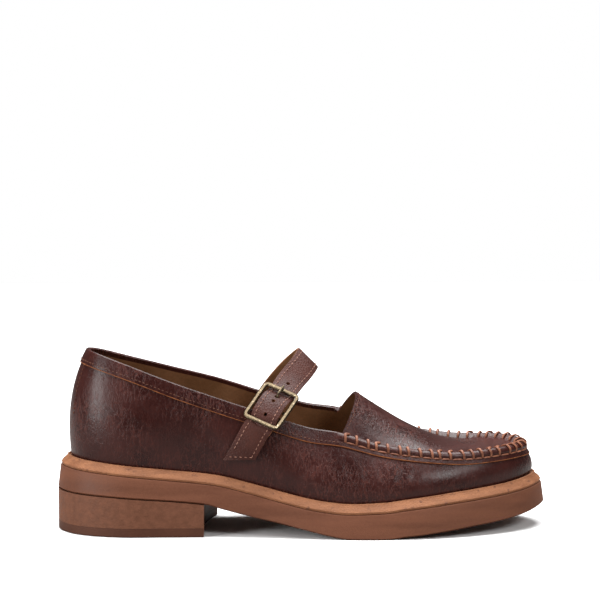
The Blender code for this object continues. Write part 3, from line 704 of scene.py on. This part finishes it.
def buckle_axes():
    along = unit(BUCKLE_ALONG)
    across = np.array(BUCKLE_ACROSS)
    across = unit(across - along * np.dot(across, along))
    out = np.cross(across, along)
    return np.array(BUCKLE_AT), along, across, out


def buckle_point(along_mm, across_mm, out_mm):
    centre, along, across, out = buckle_axes()
    return centre + along * along_mm + across * across_mm + out * out_mm


# Fine relief of the upper.

# Main creases: a soft trough between two places of one side, depth and width in mm.
Crease = namedtuple("Crease", "x0 z0 x1 z1 side depth width")
CREASES = [
    Crease(48, 44, 60, 35, -1, 0.35, 1.5),
    Crease(57, 42, 53, 27, -1, 0.40, 1.4),
    Crease(64, 39, 59, 26, -1, 0.35, 1.4),
    Crease(41, 45, 46, 30, -1, 0.35, 1.6),
    Crease(33, 46, 38, 27, -1, 0.30, 1.7),
    Crease(24, 44, 28, 28, -1, 0.30, 1.8),
    Crease(-4, 48, 12, 32, -1, 0.35, 2.4),
    Crease(-58, 62, -44, 46, -1, 0.30, 2.6),
    Crease(-100, 76, -82, 66, -1, 0.30, 2.2),
    Crease(-2, 50, 16, 34, 1, 0.35, 2.4),
    Crease(30, 48, 36, 30, 1, 0.35, 1.8),
    Crease(42, 46, 48, 30, 1, 0.35, 1.6),
    Crease(56, 44, 62, 28, 1, 0.35, 1.5),
    Crease(-60, 62, -46, 46, 1, 0.30, 2.6),
]
ROLL_ROWS = (8.2, 7.0, 6.0, 5.2, 5.0, 4.8, 4.4, 3.8, 3.1, 2.4, 1.7, 1.1, 0.7, 0.4, 0.2, 0.0)


def trough(points, normals):
    """Moves points inwards along the creases, with a small ridge beside each trough."""
    depth = np.zeros(len(points))
    flat = points[:, [0, 2]]
    for crease in CREASES:
        start = np.array([crease.x0, crease.z0], float)
        run = np.array([crease.x1, crease.z1], float) - start
        share = np.clip((flat - start) @ run / (run @ run), 0.0, 1.0)
        away = np.linalg.norm(flat - start - share[:, None] * run, axis=1) / crease.width
        ends = np.sin(np.pi * (0.12 + 0.76 * share))
        wave = np.exp(-away ** 2) - 0.35 * np.exp(-(away - 2.0) ** 2)
        depth += crease.depth * wave * ends * (points[:, 1] * crease.side > 0)
    return points - normals * depth[:, None]


@lru_cache(maxsize=None)
def outer_rows():
    """Rows of the upper's outer wall, from its foot to the collar or the roll's crest."""
    seam = seam_weight()[:, None]
    edge = share_below_top(BAND_WIDTH)
    rows = []
    for step in range(ROWS_BELOW_BAND + 1):
        share = edge * step / ROWS_BELOW_BAND
        fade = math.sqrt(max(0.0, math.sin(math.pi * step / ROWS_BELOW_BAND)))
        plain = wall_point(share)
        rows.append(plain + (trough(plain, wall_normal(share)) - plain) * fade)
    for distance in ROLL_ROWS:
        share = share_below_top(distance)
        collar_step = BAND_STEP * (1.0 if distance > 0.7 else 0.5 + distance / 1.4)
        strip_step = BAND_STEP * min(1.0, distance / ROLL_WIDTH) + roll_profile(distance)
        step = collar_step * (1 - seam) + strip_step * seam
        rows.append(wall_point(share) + wall_normal(share) * step)
    return rows


def inner_rows():
    """Rows of the upper's inner wall, from its foot to its top."""
    rows = []
    for share in np.append(np.linspace(0.0, 0.93, 16), (0.955, 0.98, 1.0)):
        normal = wall_normal(share)
        if share == 0.0:
            normal = unit(normal * np.array([1.0, 1.0, 0.0]))
        rows.append(wall_point(share) - normal * LEATHER)
    rows[-1] = rows[-1] - seam_weight()[:, None] * np.array([0.0, 0.0, 1.2])
    return rows


def build_upper(leather, lining):
    """The shell in fine rows, leather outside and round the edge, lining inside."""
    surface = Surface()
    outer = [surface.row(row) for row in outer_rows()]
    inner = [surface.row(row) for row in inner_rows()]
    first, toe, last = (n * STEPS_PER_STATION for n in (THROAT_LATERAL, TOE, THROAT_MEDIAL))
    surface.loft(inner[:-2])
    ends, throat = [], []
    for crest, drop in ((inner[-1], LEATHER), (outer[-1], 0.0)):
        rungs = [surface.row(rung) for rung in plug_rungs(drop)]
        tip = rungs[-1][0]
        surface.band([rung[0] for rung in rungs[:-1]] + [tip], crest[first:toe + 1])
        surface.band([rung[-1] for rung in rungs[:-1]] + [tip], crest[toe:last + 1][::-1])
        for near, far in zip(rungs[:-2], rungs[1:-1]):
            surface.band(near, far)
        surface.band(rungs[-2], [tip] * len(rungs[-2]))
        throat.append([crest[first]] + rungs[0] + [crest[last]])
        ends.append(len(surface.faces))
    surface.loft(outer)
    surface.loft(inner[-3:])
    surface.band(inner[0], outer[0], closed=True)
    surface.band(throat[1], throat[0])
    surface.band(outer[-1][last:] + outer[-1][:first + 1], inner[-1][last:] + inner[-1][:first + 1])
    shell = new_object("upper_shell", surface.points, surface.faces, leather)
    shell.data.materials.append(lining)
    for face in shell.data.polygons[:ends[0]]:
        face.material_index = 1
    return shell


# Lines on the wall, and what is sewn along them.

@lru_cache(maxsize=None)
def wall_line(distance, proud):
    """Closed line this far below the top of the wall and this far out of it, with its normals."""
    share = share_below_top(distance)
    normal = wall_normal(share)
    return wall_point(share) + normal * proud, normal


def stretch(first, last):
    """Fine station numbers from one table station to another, round the heel if last < first."""
    count = len(STATIONS) * STEPS_PER_STATION
    start, stop = first * STEPS_PER_STATION, last * STEPS_PER_STATION
    if stop < start:
        stop += count
    return [n % count for n in range(start, stop + 1)]


def even(points, normals, pitch):
    """Points, normals and headings at an even pitch along an open line."""
    length = distances(points)
    places = np.linspace(0.0, length[-1], max(2, int(length[-1] / pitch) + 1))
    at = np.stack([np.interp(places, length, points[:, n]) for n in range(3)], axis=1)
    up = unit(np.stack([np.interp(places, length, normals[:, n]) for n in range(3)], axis=1))
    return at, up, unit(np.gradient(at, axis=0))


TUBE_END = 0.45           # a tube's width at its ends, as a share


def tube(surface, path, radius, sides, flat, normals):
    """Adds a tube with narrow ends along a path. flat: its height along the normals, as a share."""
    path = np.asarray(path, float)
    run = unit(np.gradient(path, axis=0))
    side = unit(np.cross(run, np.asarray(normals)))
    up = np.cross(side, run)
    turns = np.arange(sides) * 2 * math.pi / sides
    rings = []
    for n, point in enumerate(path):
        shrink = TUBE_END if n in (0, len(path) - 1) else 1.0
        wide = side[n] * radius * shrink
        high = up[n] * radius * shrink * flat
        rings.append(surface.row([point + wide * math.cos(turn) + high * math.sin(turn) for turn in turns]))
    surface.loft(rings)
    surface.faces.append(rings[0][::-1])
    surface.faces.append(rings[-1])


Thread = namedtuple("Thread", "pitch length radius")
BAND_THREAD = Thread(2.3, 1.5, 0.24)
STAY_THREAD = Thread(2.3, 1.5, 0.22)
STRAP_THREAD = Thread(2.5, 1.6, 0.27)
THREAD_SIDES = 5
THREAD_SINK = 0.25        # depth of a stitch's ends in the leather
THREAD_RISE = 0.12        # height of its middle over the leather
BACK_SEAM = 5             # fine station of the stitches down the heel


def stitches(surface, points, normals, thread):
    """A row of short threads that dip into the leather at both ends."""
    at, up, run = even(points, normals, thread.pitch)
    for place, out, ahead in zip(at, up, run):
        half = ahead * thread.length / 2
        path = [
            place - half - out * THREAD_SINK,
            place - half * 0.5 + out * THREAD_RISE,
            place + half * 0.5 + out * THREAD_RISE,
            place + half - out * THREAD_SINK,
        ]
        tube(surface, path, thread.radius, THREAD_SIDES, 1.0, [out] * len(path))


def build_band_edge(material):
    """Raw cut edge of the band and of the strip under the rolled seam."""
    surface = Surface()
    points, normals = wall_line(BAND_WIDTH - 0.1, BAND_STEP * 0.55)
    down = unit(points - wall_line(BAND_WIDTH - 1.0, BAND_STEP * 0.55)[0])
    section = ((0.0, -0.45), (0.26, -0.3), (0.3, 0.3), (0.0, 0.42), (-0.3, 0.0))
    rows = [surface.row(points + down * a + normals * b) for a, b in section]
    surface.loft(rows, loop=True)
    return new_object("band_edge", surface.points, surface.faces, material)


def build_band_stitches(material):
    """Stitch rows above the band's edge, on the plug's throat and down the heel."""
    surface = Surface()
    collar = stretch(THROAT_MEDIAL, THROAT_LATERAL)
    points, normals = wall_line(BAND_WIDTH - 2.0, BAND_STEP + 0.05)
    stitches(surface, points[collar], normals[collar], BAND_THREAD)
    rungs = plug_rungs(0.0)
    throat = rungs[0] * 0.3 + rungs[1] * 0.7
    throat = throat[2:-2]
    stitches(surface, throat, np.tile([0.5, 0.0, 0.87], (len(throat), 1)), BAND_THREAD)
    shares = np.linspace(0.86, 0.42, 20)
    away = np.array([wall_normal(share)[BACK_SEAM] for share in shares])
    back = np.array([wall_point(share)[BACK_SEAM] for share in shares]) + away * 0.05
    stitches(surface, back, away, STAY_THREAD)
    return new_object("band_stitches", surface.points, surface.faces, material)


WHIP_PITCH = 5.8
WHIP_RADIUS = 0.72
WHIP_SIDES = 8
WHIP_PATH = (5.6, 5.0, 3.8, 2.5, 1.2, 0.3)   # a cord's places below the roll's crest
WHIP_LEAN = 0.5           # how far along the seam the last of them lies ahead
RUNNING_SIDES = 6
# The running cord between two feet: share of the way, and height over the leather.
RUNNING_PATH = ((0.08, -0.3), (0.25, 0.2), (0.7, 0.25), (0.88, -0.4))


def build_whip_cords(material):
    """Cords over the rolled seam, with a running cord between their lower feet."""
    surface = Surface()
    rows = np.array(outer_rows())
    seam = stretch(THROAT_LATERAL, THROAT_MEDIAL)
    length = distances(rows[-1][seam])
    count = int(length[-1] / WHIP_PITCH)
    edge = wall_point(1.0)
    inward = -outward(edge)
    lower = []
    for n in range(count):
        place = (n + 0.5) * length[-1] / count
        here = seam[int(np.argmin(np.abs(length - place)))]
        ahead = seam[min(len(seam) - 1, int(np.argmin(np.abs(length - place - WHIP_LEAN))))]
        path, normals = [], []
        for distance in WHIP_PATH:
            column = ahead if distance == WHIP_PATH[-1] else here
            points, ups = wall_line(distance, BAND_STEP + roll_profile(distance) + 0.15)
            path.append(points[column])
            normals.append(ups[column])
        top = edge[ahead]
        path.append(top + inward[ahead] * 1.2 + np.array([0.0, 0.0, 0.1]))
        path.append(top + inward[ahead] * ROLL_INSIDE - np.array([0.0, 0.0, ROLL_DROP]))
        normals += [np.array([0.0, 0.0, 1.0]) + inward[ahead] * 0.3, inward[ahead] + [0.0, 0.0, 0.5]]
        path = spline(path, 3, closed=False)
        normals = unit(spline(normals, 3, closed=False))
        tube(surface, path, WHIP_RADIUS, WHIP_SIDES, 0.75, normals)
        lower.append((path[0], normals[0]))
    for (start, up), (stop, _) in zip(lower, lower[1:]):
        run = stop - start
        path = [start + run * share + up * height for share, height in RUNNING_PATH]
        tube(surface, path, WHIP_RADIUS * 0.7, RUNNING_SIDES, 0.8, [up] * len(path))
    return new_object("whip_cords", surface.points, surface.faces, material)


STITCH_INSET = 2.3        # strap stitches in from its sides
TAIL_ROW_AT = 3           # fine place of the row across the tail
TAIL_ROW = (-5.0, 0.0, 5.0)


def build_strap_stitches(material):
    """Two stitch rows along the strap and one across its cut tail."""
    surface = Surface()
    middle, along, across, out = strap_frames(per_span=10)
    for side in (-1, 1):
        row = middle + across * side * (STRAP_WIDTH / 2 - STITCH_INSET) + out * 0.04
        stitches(surface, row[8:-6], out[8:-6], STRAP_THREAD)
    at, wide, ahead, up = (rows[TAIL_ROW_AT] for rows in (middle, across, along, out))
    row = np.array([at + wide * w + ahead * (w * TAIL_CUT * 0.9) + up * 0.04 for w in TAIL_ROW])
    stitches(surface, row, np.tile(up, (len(row), 1)), STRAP_THREAD)
    return new_object("strap_stitches", surface.points, surface.faces, material)


# Materials. A Maths object wraps a socket, so that a formula on values adds its nodes.

class Maths:
    def __init__(self, tree, socket):
        self.tree = tree
        self.socket = socket

    def step(self, operation, other, flip=False):
        first, second = (other, self) if flip else (self, other)
        node = self.tree.nodes.new("ShaderNodeMath")
        node.operation = operation
        for place, value in zip(node.inputs, (first, second)):
            if isinstance(value, Maths):
                self.tree.links.new(value.socket, place)
            else:
                place.default_value = value
        return Maths(self.tree, node.outputs[0])

    def __add__(self, other):
        return self.step("ADD", other)

    def __sub__(self, other):
        return self.step("SUBTRACT", other)

    def __rsub__(self, other):
        return self.step("SUBTRACT", other, flip=True)

    def __mul__(self, other):
        return self.step("MULTIPLY", other)


class Finish:
    """One material: its tree, its shader and the coordinates in millimetres."""

    def __init__(self, name, roughness, metallic=0.0, coat=0.0, specular=0.25):
        self.material = bpy.data.materials.new(name)
        self.material.use_nodes = True
        self.tree = self.material.node_tree
        self.shader = self.tree.nodes["Principled BSDF"]
        self.shader.inputs["Metallic"].default_value = metallic
        self.shader.inputs["Roughness"].default_value = roughness
        self.shader.inputs["Coat Weight"].default_value = coat
        self.shader.inputs["Coat Roughness"].default_value = 0.22
        self.shader.inputs["Specular IOR Level"].default_value = specular
        self.place = self.node("ShaderNodeTexCoord").outputs["Object"]

    def node(self, kind, settings=None, **sockets):
        node = self.tree.nodes.new(kind)
        for key, value in (settings or {}).items():
            setattr(node, key, value)
        for key, value in sockets.items():
            socket = node.inputs[key.replace("_", " ")]
            value = value.socket if isinstance(value, Maths) else value
            if isinstance(value, bpy.types.NodeSocket):
                self.tree.links.new(value, socket)
            else:
                socket.default_value = value
        return node

    def noise(self, size_mm, detail=4.0, stretch=(1, 1, 1)):
        """Noise whose grain is about this size, from 0 to 1."""
        scale = tuple(1 / (size_mm * MM) * s for s in stretch)
        spot = self.node("ShaderNodeMapping", Vector=self.place, Scale=scale)
        cloud = self.node("ShaderNodeTexNoise", Vector=spot.outputs[0], Scale=1.0, Detail=detail)
        return Maths(self.tree, cloud.outputs[0])

    def cells(self, size_mm):
        """Distance to the nearest edge of grain cells of about this size, 0 on the edges."""
        scale = (1 / (size_mm * MM),) * 3
        spot = self.node("ShaderNodeMapping", Vector=self.place, Scale=scale)
        grain = self.node("ShaderNodeTexVoronoi", {"feature": "DISTANCE_TO_EDGE"},
                          Vector=spot.outputs[0], Scale=1.0)
        return Maths(self.tree, grain.outputs[0])

    def ramp(self, value, low, high):
        """0 below low, 1 above high."""
        node = self.node("ShaderNodeMapRange", {"clamp": True}, Value=value)
        node.inputs["From Min"].default_value = low
        node.inputs["From Max"].default_value = high
        return Maths(self.tree, node.outputs[0])

    def blend(self, share, low, high):
        node = self.node("ShaderNodeMix", {"data_type": "RGBA"})
        self.tree.links.new(share.socket, node.inputs[0])
        for socket, colour in ((node.inputs[6], low), (node.inputs[7], high)):
            if isinstance(colour, tuple):
                socket.default_value = (*colour, 1.0)
            else:
                self.tree.links.new(colour, socket)
        return node.outputs[2]

    def colour(self, socket):
        self.tree.links.new(socket, self.shader.inputs["Base Color"])

    def roughness(self, value):
        self.tree.links.new(value.socket, self.shader.inputs["Roughness"])

    def bump(self, height, depth_mm):
        node = self.node("ShaderNodeBump", Height=height, Distance=depth_mm * MM, Strength=1.0)
        self.tree.links.new(node.outputs[0], self.shader.inputs["Normal"])


def grained(name, dark, light, rough, grain_mm, depth_mm, coat=0.0, metallic=0.0, wear=None,
            cloud_mm=18.0, stretch=(1, 1, 1)):
    """Leather, rubber or brass: clouded colour, grain bump, and worn spots if wear gives a colour."""
    finish = Finish(name, rough, metallic, coat)
    cloud = finish.ramp(finish.noise(cloud_mm, 4.0, stretch), 0.35, 0.65)
    speck = finish.ramp(finish.noise(grain_mm * 2), 0.3, 0.7)
    mixed = finish.blend(cloud * 0.7 + speck * 0.3, dark, light)
    if wear:
        worn = finish.ramp(finish.noise(cloud_mm * 0.6, 6.0), 0.6, 0.72)
        mixed = finish.blend(worn, mixed, wear)
    finish.colour(mixed)
    finish.roughness(cloud * 0.12 + speck * 0.08 + (rough - 0.08))
    grain = finish.noise(grain_mm, 5.0)
    finish.bump(grain * 0.6 + finish.ramp(finish.cells(grain_mm * 1.6), 0.0, 0.25) * 0.4, depth_mm)
    return finish.material


def crinkled_leather(name, dark, light, line, coat=0.13):
    """Glossy oxblood leather: thin upright wrinkle lines, fine grain and clouded colour."""
    finish = Finish(name, 0.3, 0.0, coat, 0.2)
    cloud = finish.ramp(finish.noise(24.0), 0.35, 0.68)
    upright = finish.noise(4.2, 3.0, (1.9, 1.0, 0.55)) - 0.5
    slanted = finish.noise(2.6, 3.0, (1.2, 1.0, 0.8)) - 0.5
    folds = finish.ramp(upright * upright, 0.0, 0.0022)
    veins = finish.ramp(slanted * slanted, 0.0, 0.0014)
    where = finish.ramp(finish.noise(30.0, 2.0), 0.4, 0.62)
    lines = ((1 - folds) * 0.7 + (1 - veins) * 0.4) * (where * 0.8 + 0.2)
    base = finish.blend(cloud, dark, light)
    finish.colour(finish.blend(lines * 0.55, base, line))
    finish.roughness(cloud * 0.1 + lines * 0.12 + 0.24)
    grain = finish.ramp(finish.cells(0.9), 0.0, 0.3)
    broad = finish.noise(9.0, 2.0)
    finish.bump(lines * 0.22 + grain * 0.05 + broad * 0.35 + slanted * 0.3, 0.7)
    return finish.material


# Stage.

CAMERA_AT = (-0.05906, -1.50439, 0.276)
CAMERA_TURN = (math.radians(84.4), 0.0, math.radians(-2.2))
LENS = 160.8
FLOOR_SIZE = 3.0           # its far edge is still white, so it doesn't show
ROOM_LIGHT = 0.13
PAPER_REFLECTED = (0.3, 0.29, 0.28, 1.0)
Lamp = namedtuple("Lamp", "name place aim size watts")
LAMPS = (
    Lamp("overhead", (0.0, 0.25, 1.6), (0.0, 0.0, 0.0), 1.6, 80.0),
    Lamp("left_box", (-1.5, -0.9, 0.55), (-0.05, 0.0, 0.06), 0.8, 24.0),
    Lamp("toe_box", (0.85, -1.1, 0.95), (0.08, 0.0, 0.04), 0.45, 10.0),
)


def set_stage():
    camera = bpy.data.cameras.new("camera")
    camera.lens = LENS
    camera.sensor_width = 36.0
    view = bpy.data.objects.new("camera", camera)
    view.location = CAMERA_AT
    view.rotation_euler = CAMERA_TURN
    HERE.objects.link(view)
    bpy.context.scene.camera = view
    bpy.context.scene.view_settings.view_transform = "Standard"
    bpy.ops.mesh.primitive_plane_add(size=FLOOR_SIZE, location=(0, 0, 0))
    floor = bpy.context.object
    floor.name = "floor"
    paper = Finish("paper", 0.9)
    paper.colour(paper.blend(paper.noise(300.0), (0.93, 0.93, 0.93), (0.95, 0.95, 0.95)))
    floor.data.materials.append(paper.material)
    dim_reflections(paper)
    world = bpy.context.scene.world or bpy.data.worlds.new("world")
    bpy.context.scene.world = world
    world.use_nodes = True
    set_world(world.node_tree)
    for lamp in LAMPS:
        add_light(lamp)


def dim_reflections(paper):
    """The paper stays white to the eye, but throws back less light onto the shoe."""
    tree = paper.tree
    grey = tree.nodes.new("ShaderNodeBsdfDiffuse")
    grey.inputs[0].default_value = PAPER_REFLECTED
    by_camera_ray(tree, paper.shader, grey, "Material Output")


def set_world(tree):
    """White paper behind the shoe, and a dimmer grey room for what the shoe reflects."""
    behind = tree.nodes["Background"]
    behind.inputs[0].default_value = (1.0, 1.0, 1.0, 1.0)
    behind.inputs[1].default_value = 1.0
    room = tree.nodes.new("ShaderNodeBackground")
    room.inputs[0].default_value = (1.0, 0.98, 0.96, 1.0)
    room.inputs[1].default_value = ROOM_LIGHT
    by_camera_ray(tree, behind, room, "World Output")


def by_camera_ray(tree, seen, other, output):
    """The camera sees one shader, and light that bounces meets the other."""
    path = tree.nodes.new("ShaderNodeLightPath")
    mix = tree.nodes.new("ShaderNodeMixShader")
    tree.links.new(path.outputs["Is Camera Ray"], mix.inputs[0])
    tree.links.new(other.outputs[0], mix.inputs[1])
    tree.links.new(seen.outputs[0], mix.inputs[2])
    tree.links.new(mix.outputs[0], tree.nodes[output].inputs[0])


def add_light(lamp):
    light = bpy.data.lights.new(lamp.name, "AREA")
    light.size = lamp.size
    light.energy = lamp.watts
    thing = bpy.data.objects.new(lamp.name, light)
    thing.location = lamp.place
    way = np.array(lamp.aim) - np.array(lamp.place)
    turn = math.atan2(way[1], way[0]) - math.pi / 2
    tilt = math.atan2(math.hypot(way[0], way[1]), -way[2])
    thing.rotation_euler = (tilt, 0.0, turn)
    HERE.objects.link(thing)


def finish_piece(thing, slot, *nodes):
    """Shades the piece, rides it on the shoe and hides the parts it stands for."""
    thing.data.shade_smooth()
    thing.data.set_sharp_from_angle(angle=math.radians(40))
    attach(thing, "root")
    if nodes:
        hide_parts(*nodes)


def paint_strap(strap, lining, tan):
    """Lining on the strap's underside and tan on its cut sides, found from each face's heading."""
    strap.data.materials.append(lining)
    strap.data.materials.append(tan)
    middle, along, across, out = strap_frames(STRAP_STEPS)
    for face in strap.data.polygons:
        place = np.array(face.center) / MM + sole_middle()
        nearest = int(np.argmin(np.linalg.norm(middle - place, axis=1)))
        way = np.array(face.normal)
        if way @ out[nearest] < -0.6:
            face.material_index = 1
        elif abs(way @ across[nearest]) > 0.75 or abs(way @ along[nearest]) > 0.8:
            face.material_index = 2


def main():
    set_stage()
    oxblood = crinkled_leather("oxblood", (0.02, 0.004, 0.0032), (0.04, 0.009, 0.007),
                               line=(0.11, 0.028, 0.019))
    strap_leather = grained("strap_hide", (0.035, 0.008, 0.005), (0.07, 0.018, 0.011),
                            rough=0.52, grain_mm=0.8, depth_mm=0.3)
    tab_leather = grained("tab_hide", (0.04, 0.011, 0.007), (0.07, 0.02, 0.012),
                          rough=0.4, grain_mm=0.9, depth_mm=0.15, coat=0.05)
    lining = grained("lining_hide", (0.13, 0.058, 0.022), (0.2, 0.095, 0.042),
                     rough=0.62, grain_mm=1.5, depth_mm=0.1)
    welt = grained("welt_hide", (0.2, 0.078, 0.035), (0.33, 0.14, 0.066), rough=0.6, grain_mm=0.9,
                   depth_mm=0.25, wear=(0.14, 0.055, 0.03), cloud_mm=6.0, stretch=(0.3, 1.0, 2.0))
    sole = grained("sole_rubber", (0.115, 0.04, 0.02), (0.17, 0.062, 0.032), rough=0.55,
                   grain_mm=0.7, depth_mm=0.08, cloud_mm=12.0, stretch=(0.2, 0.6, 2.0))
    heel = grained("heel_rubber", (0.125, 0.047, 0.024), (0.18, 0.07, 0.038),
                   rough=0.6, grain_mm=1.4, depth_mm=0.16, cloud_mm=3.5)
    lift = grained("lift_rubber", (0.075, 0.026, 0.014), (0.105, 0.038, 0.02),
                   rough=0.6, grain_mm=1.0, depth_mm=0.1)
    brass = grained("old_brass", (0.06, 0.045, 0.03), (0.15, 0.115, 0.07), rough=0.4, grain_mm=0.9,
                    depth_mm=0.05, metallic=1.0, wear=(0.36, 0.3, 0.2), cloud_mm=3.0)
    raw_edge = grained("raw_edge", (0.13, 0.036, 0.013), (0.32, 0.11, 0.035),
                       rough=0.7, grain_mm=0.6, depth_mm=0.1, cloud_mm=5.0)
    tan_edge = grained("tan_edge", (0.12, 0.045, 0.022), (0.26, 0.11, 0.055),
                       rough=0.6, grain_mm=0.6, depth_mm=0.1, cloud_mm=6.0)
    cord = grained("copper_cord", (0.13, 0.042, 0.022), (0.31, 0.12, 0.065),
                   rough=0.45, grain_mm=0.5, depth_mm=0.15, coat=0.05, cloud_mm=4.0)
    thread = grained("pale_thread", (0.2, 0.085, 0.06), (0.36, 0.19, 0.14),
                     rough=0.6, grain_mm=0.4, depth_mm=0.05, cloud_mm=5.0)
    band_thread = grained("band_thread", (0.06, 0.02, 0.012), (0.17, 0.07, 0.04),
                          rough=0.6, grain_mm=0.4, depth_mm=0.05, cloud_mm=5.0)

    finish_piece(build_upper(oxblood, lining), "upper_leather", "upper")
    finish_piece(build_insole(lining), "lining_leather", "insole")
    finish_piece(build_welt(welt), "welt_leather", "welt")
    finish_piece(build_outsole(sole), "sole_brown", "outsole")
    heel_levels = ((LIFT + 0.1, 0.0), (None, 0.0))
    lift_levels = ((0.0, LIFT_EDGE), (LIFT_EDGE, 0.0), (LIFT, 0.0))
    finish_piece(heel_slab("heel_stack", heel_levels, heel), "heel_brown", "heel_block")
    finish_piece(heel_slab("heel_lift", lift_levels, lift), "lift_brown", "top_lift")
    strap = build_strap(strap_leather)
    paint_strap(strap, lining, tan_edge)
    finish_piece(strap, "strap_leather", "strap")
    finish_piece(build_band_edge(raw_edge), "welt_leather")
    finish_piece(build_band_stitches(band_thread), "welt_leather")
    finish_piece(build_whip_cords(cord), "welt_leather")
    finish_piece(build_strap_stitches(thread), "lining_leather")
    for node, material in (("buckle_frame", brass), ("buckle_prong", brass), ("buckle_tab", tab_leather)):
        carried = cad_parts[node]
        carried.data.materials.clear()
        carried.data.materials.append(material)


main()
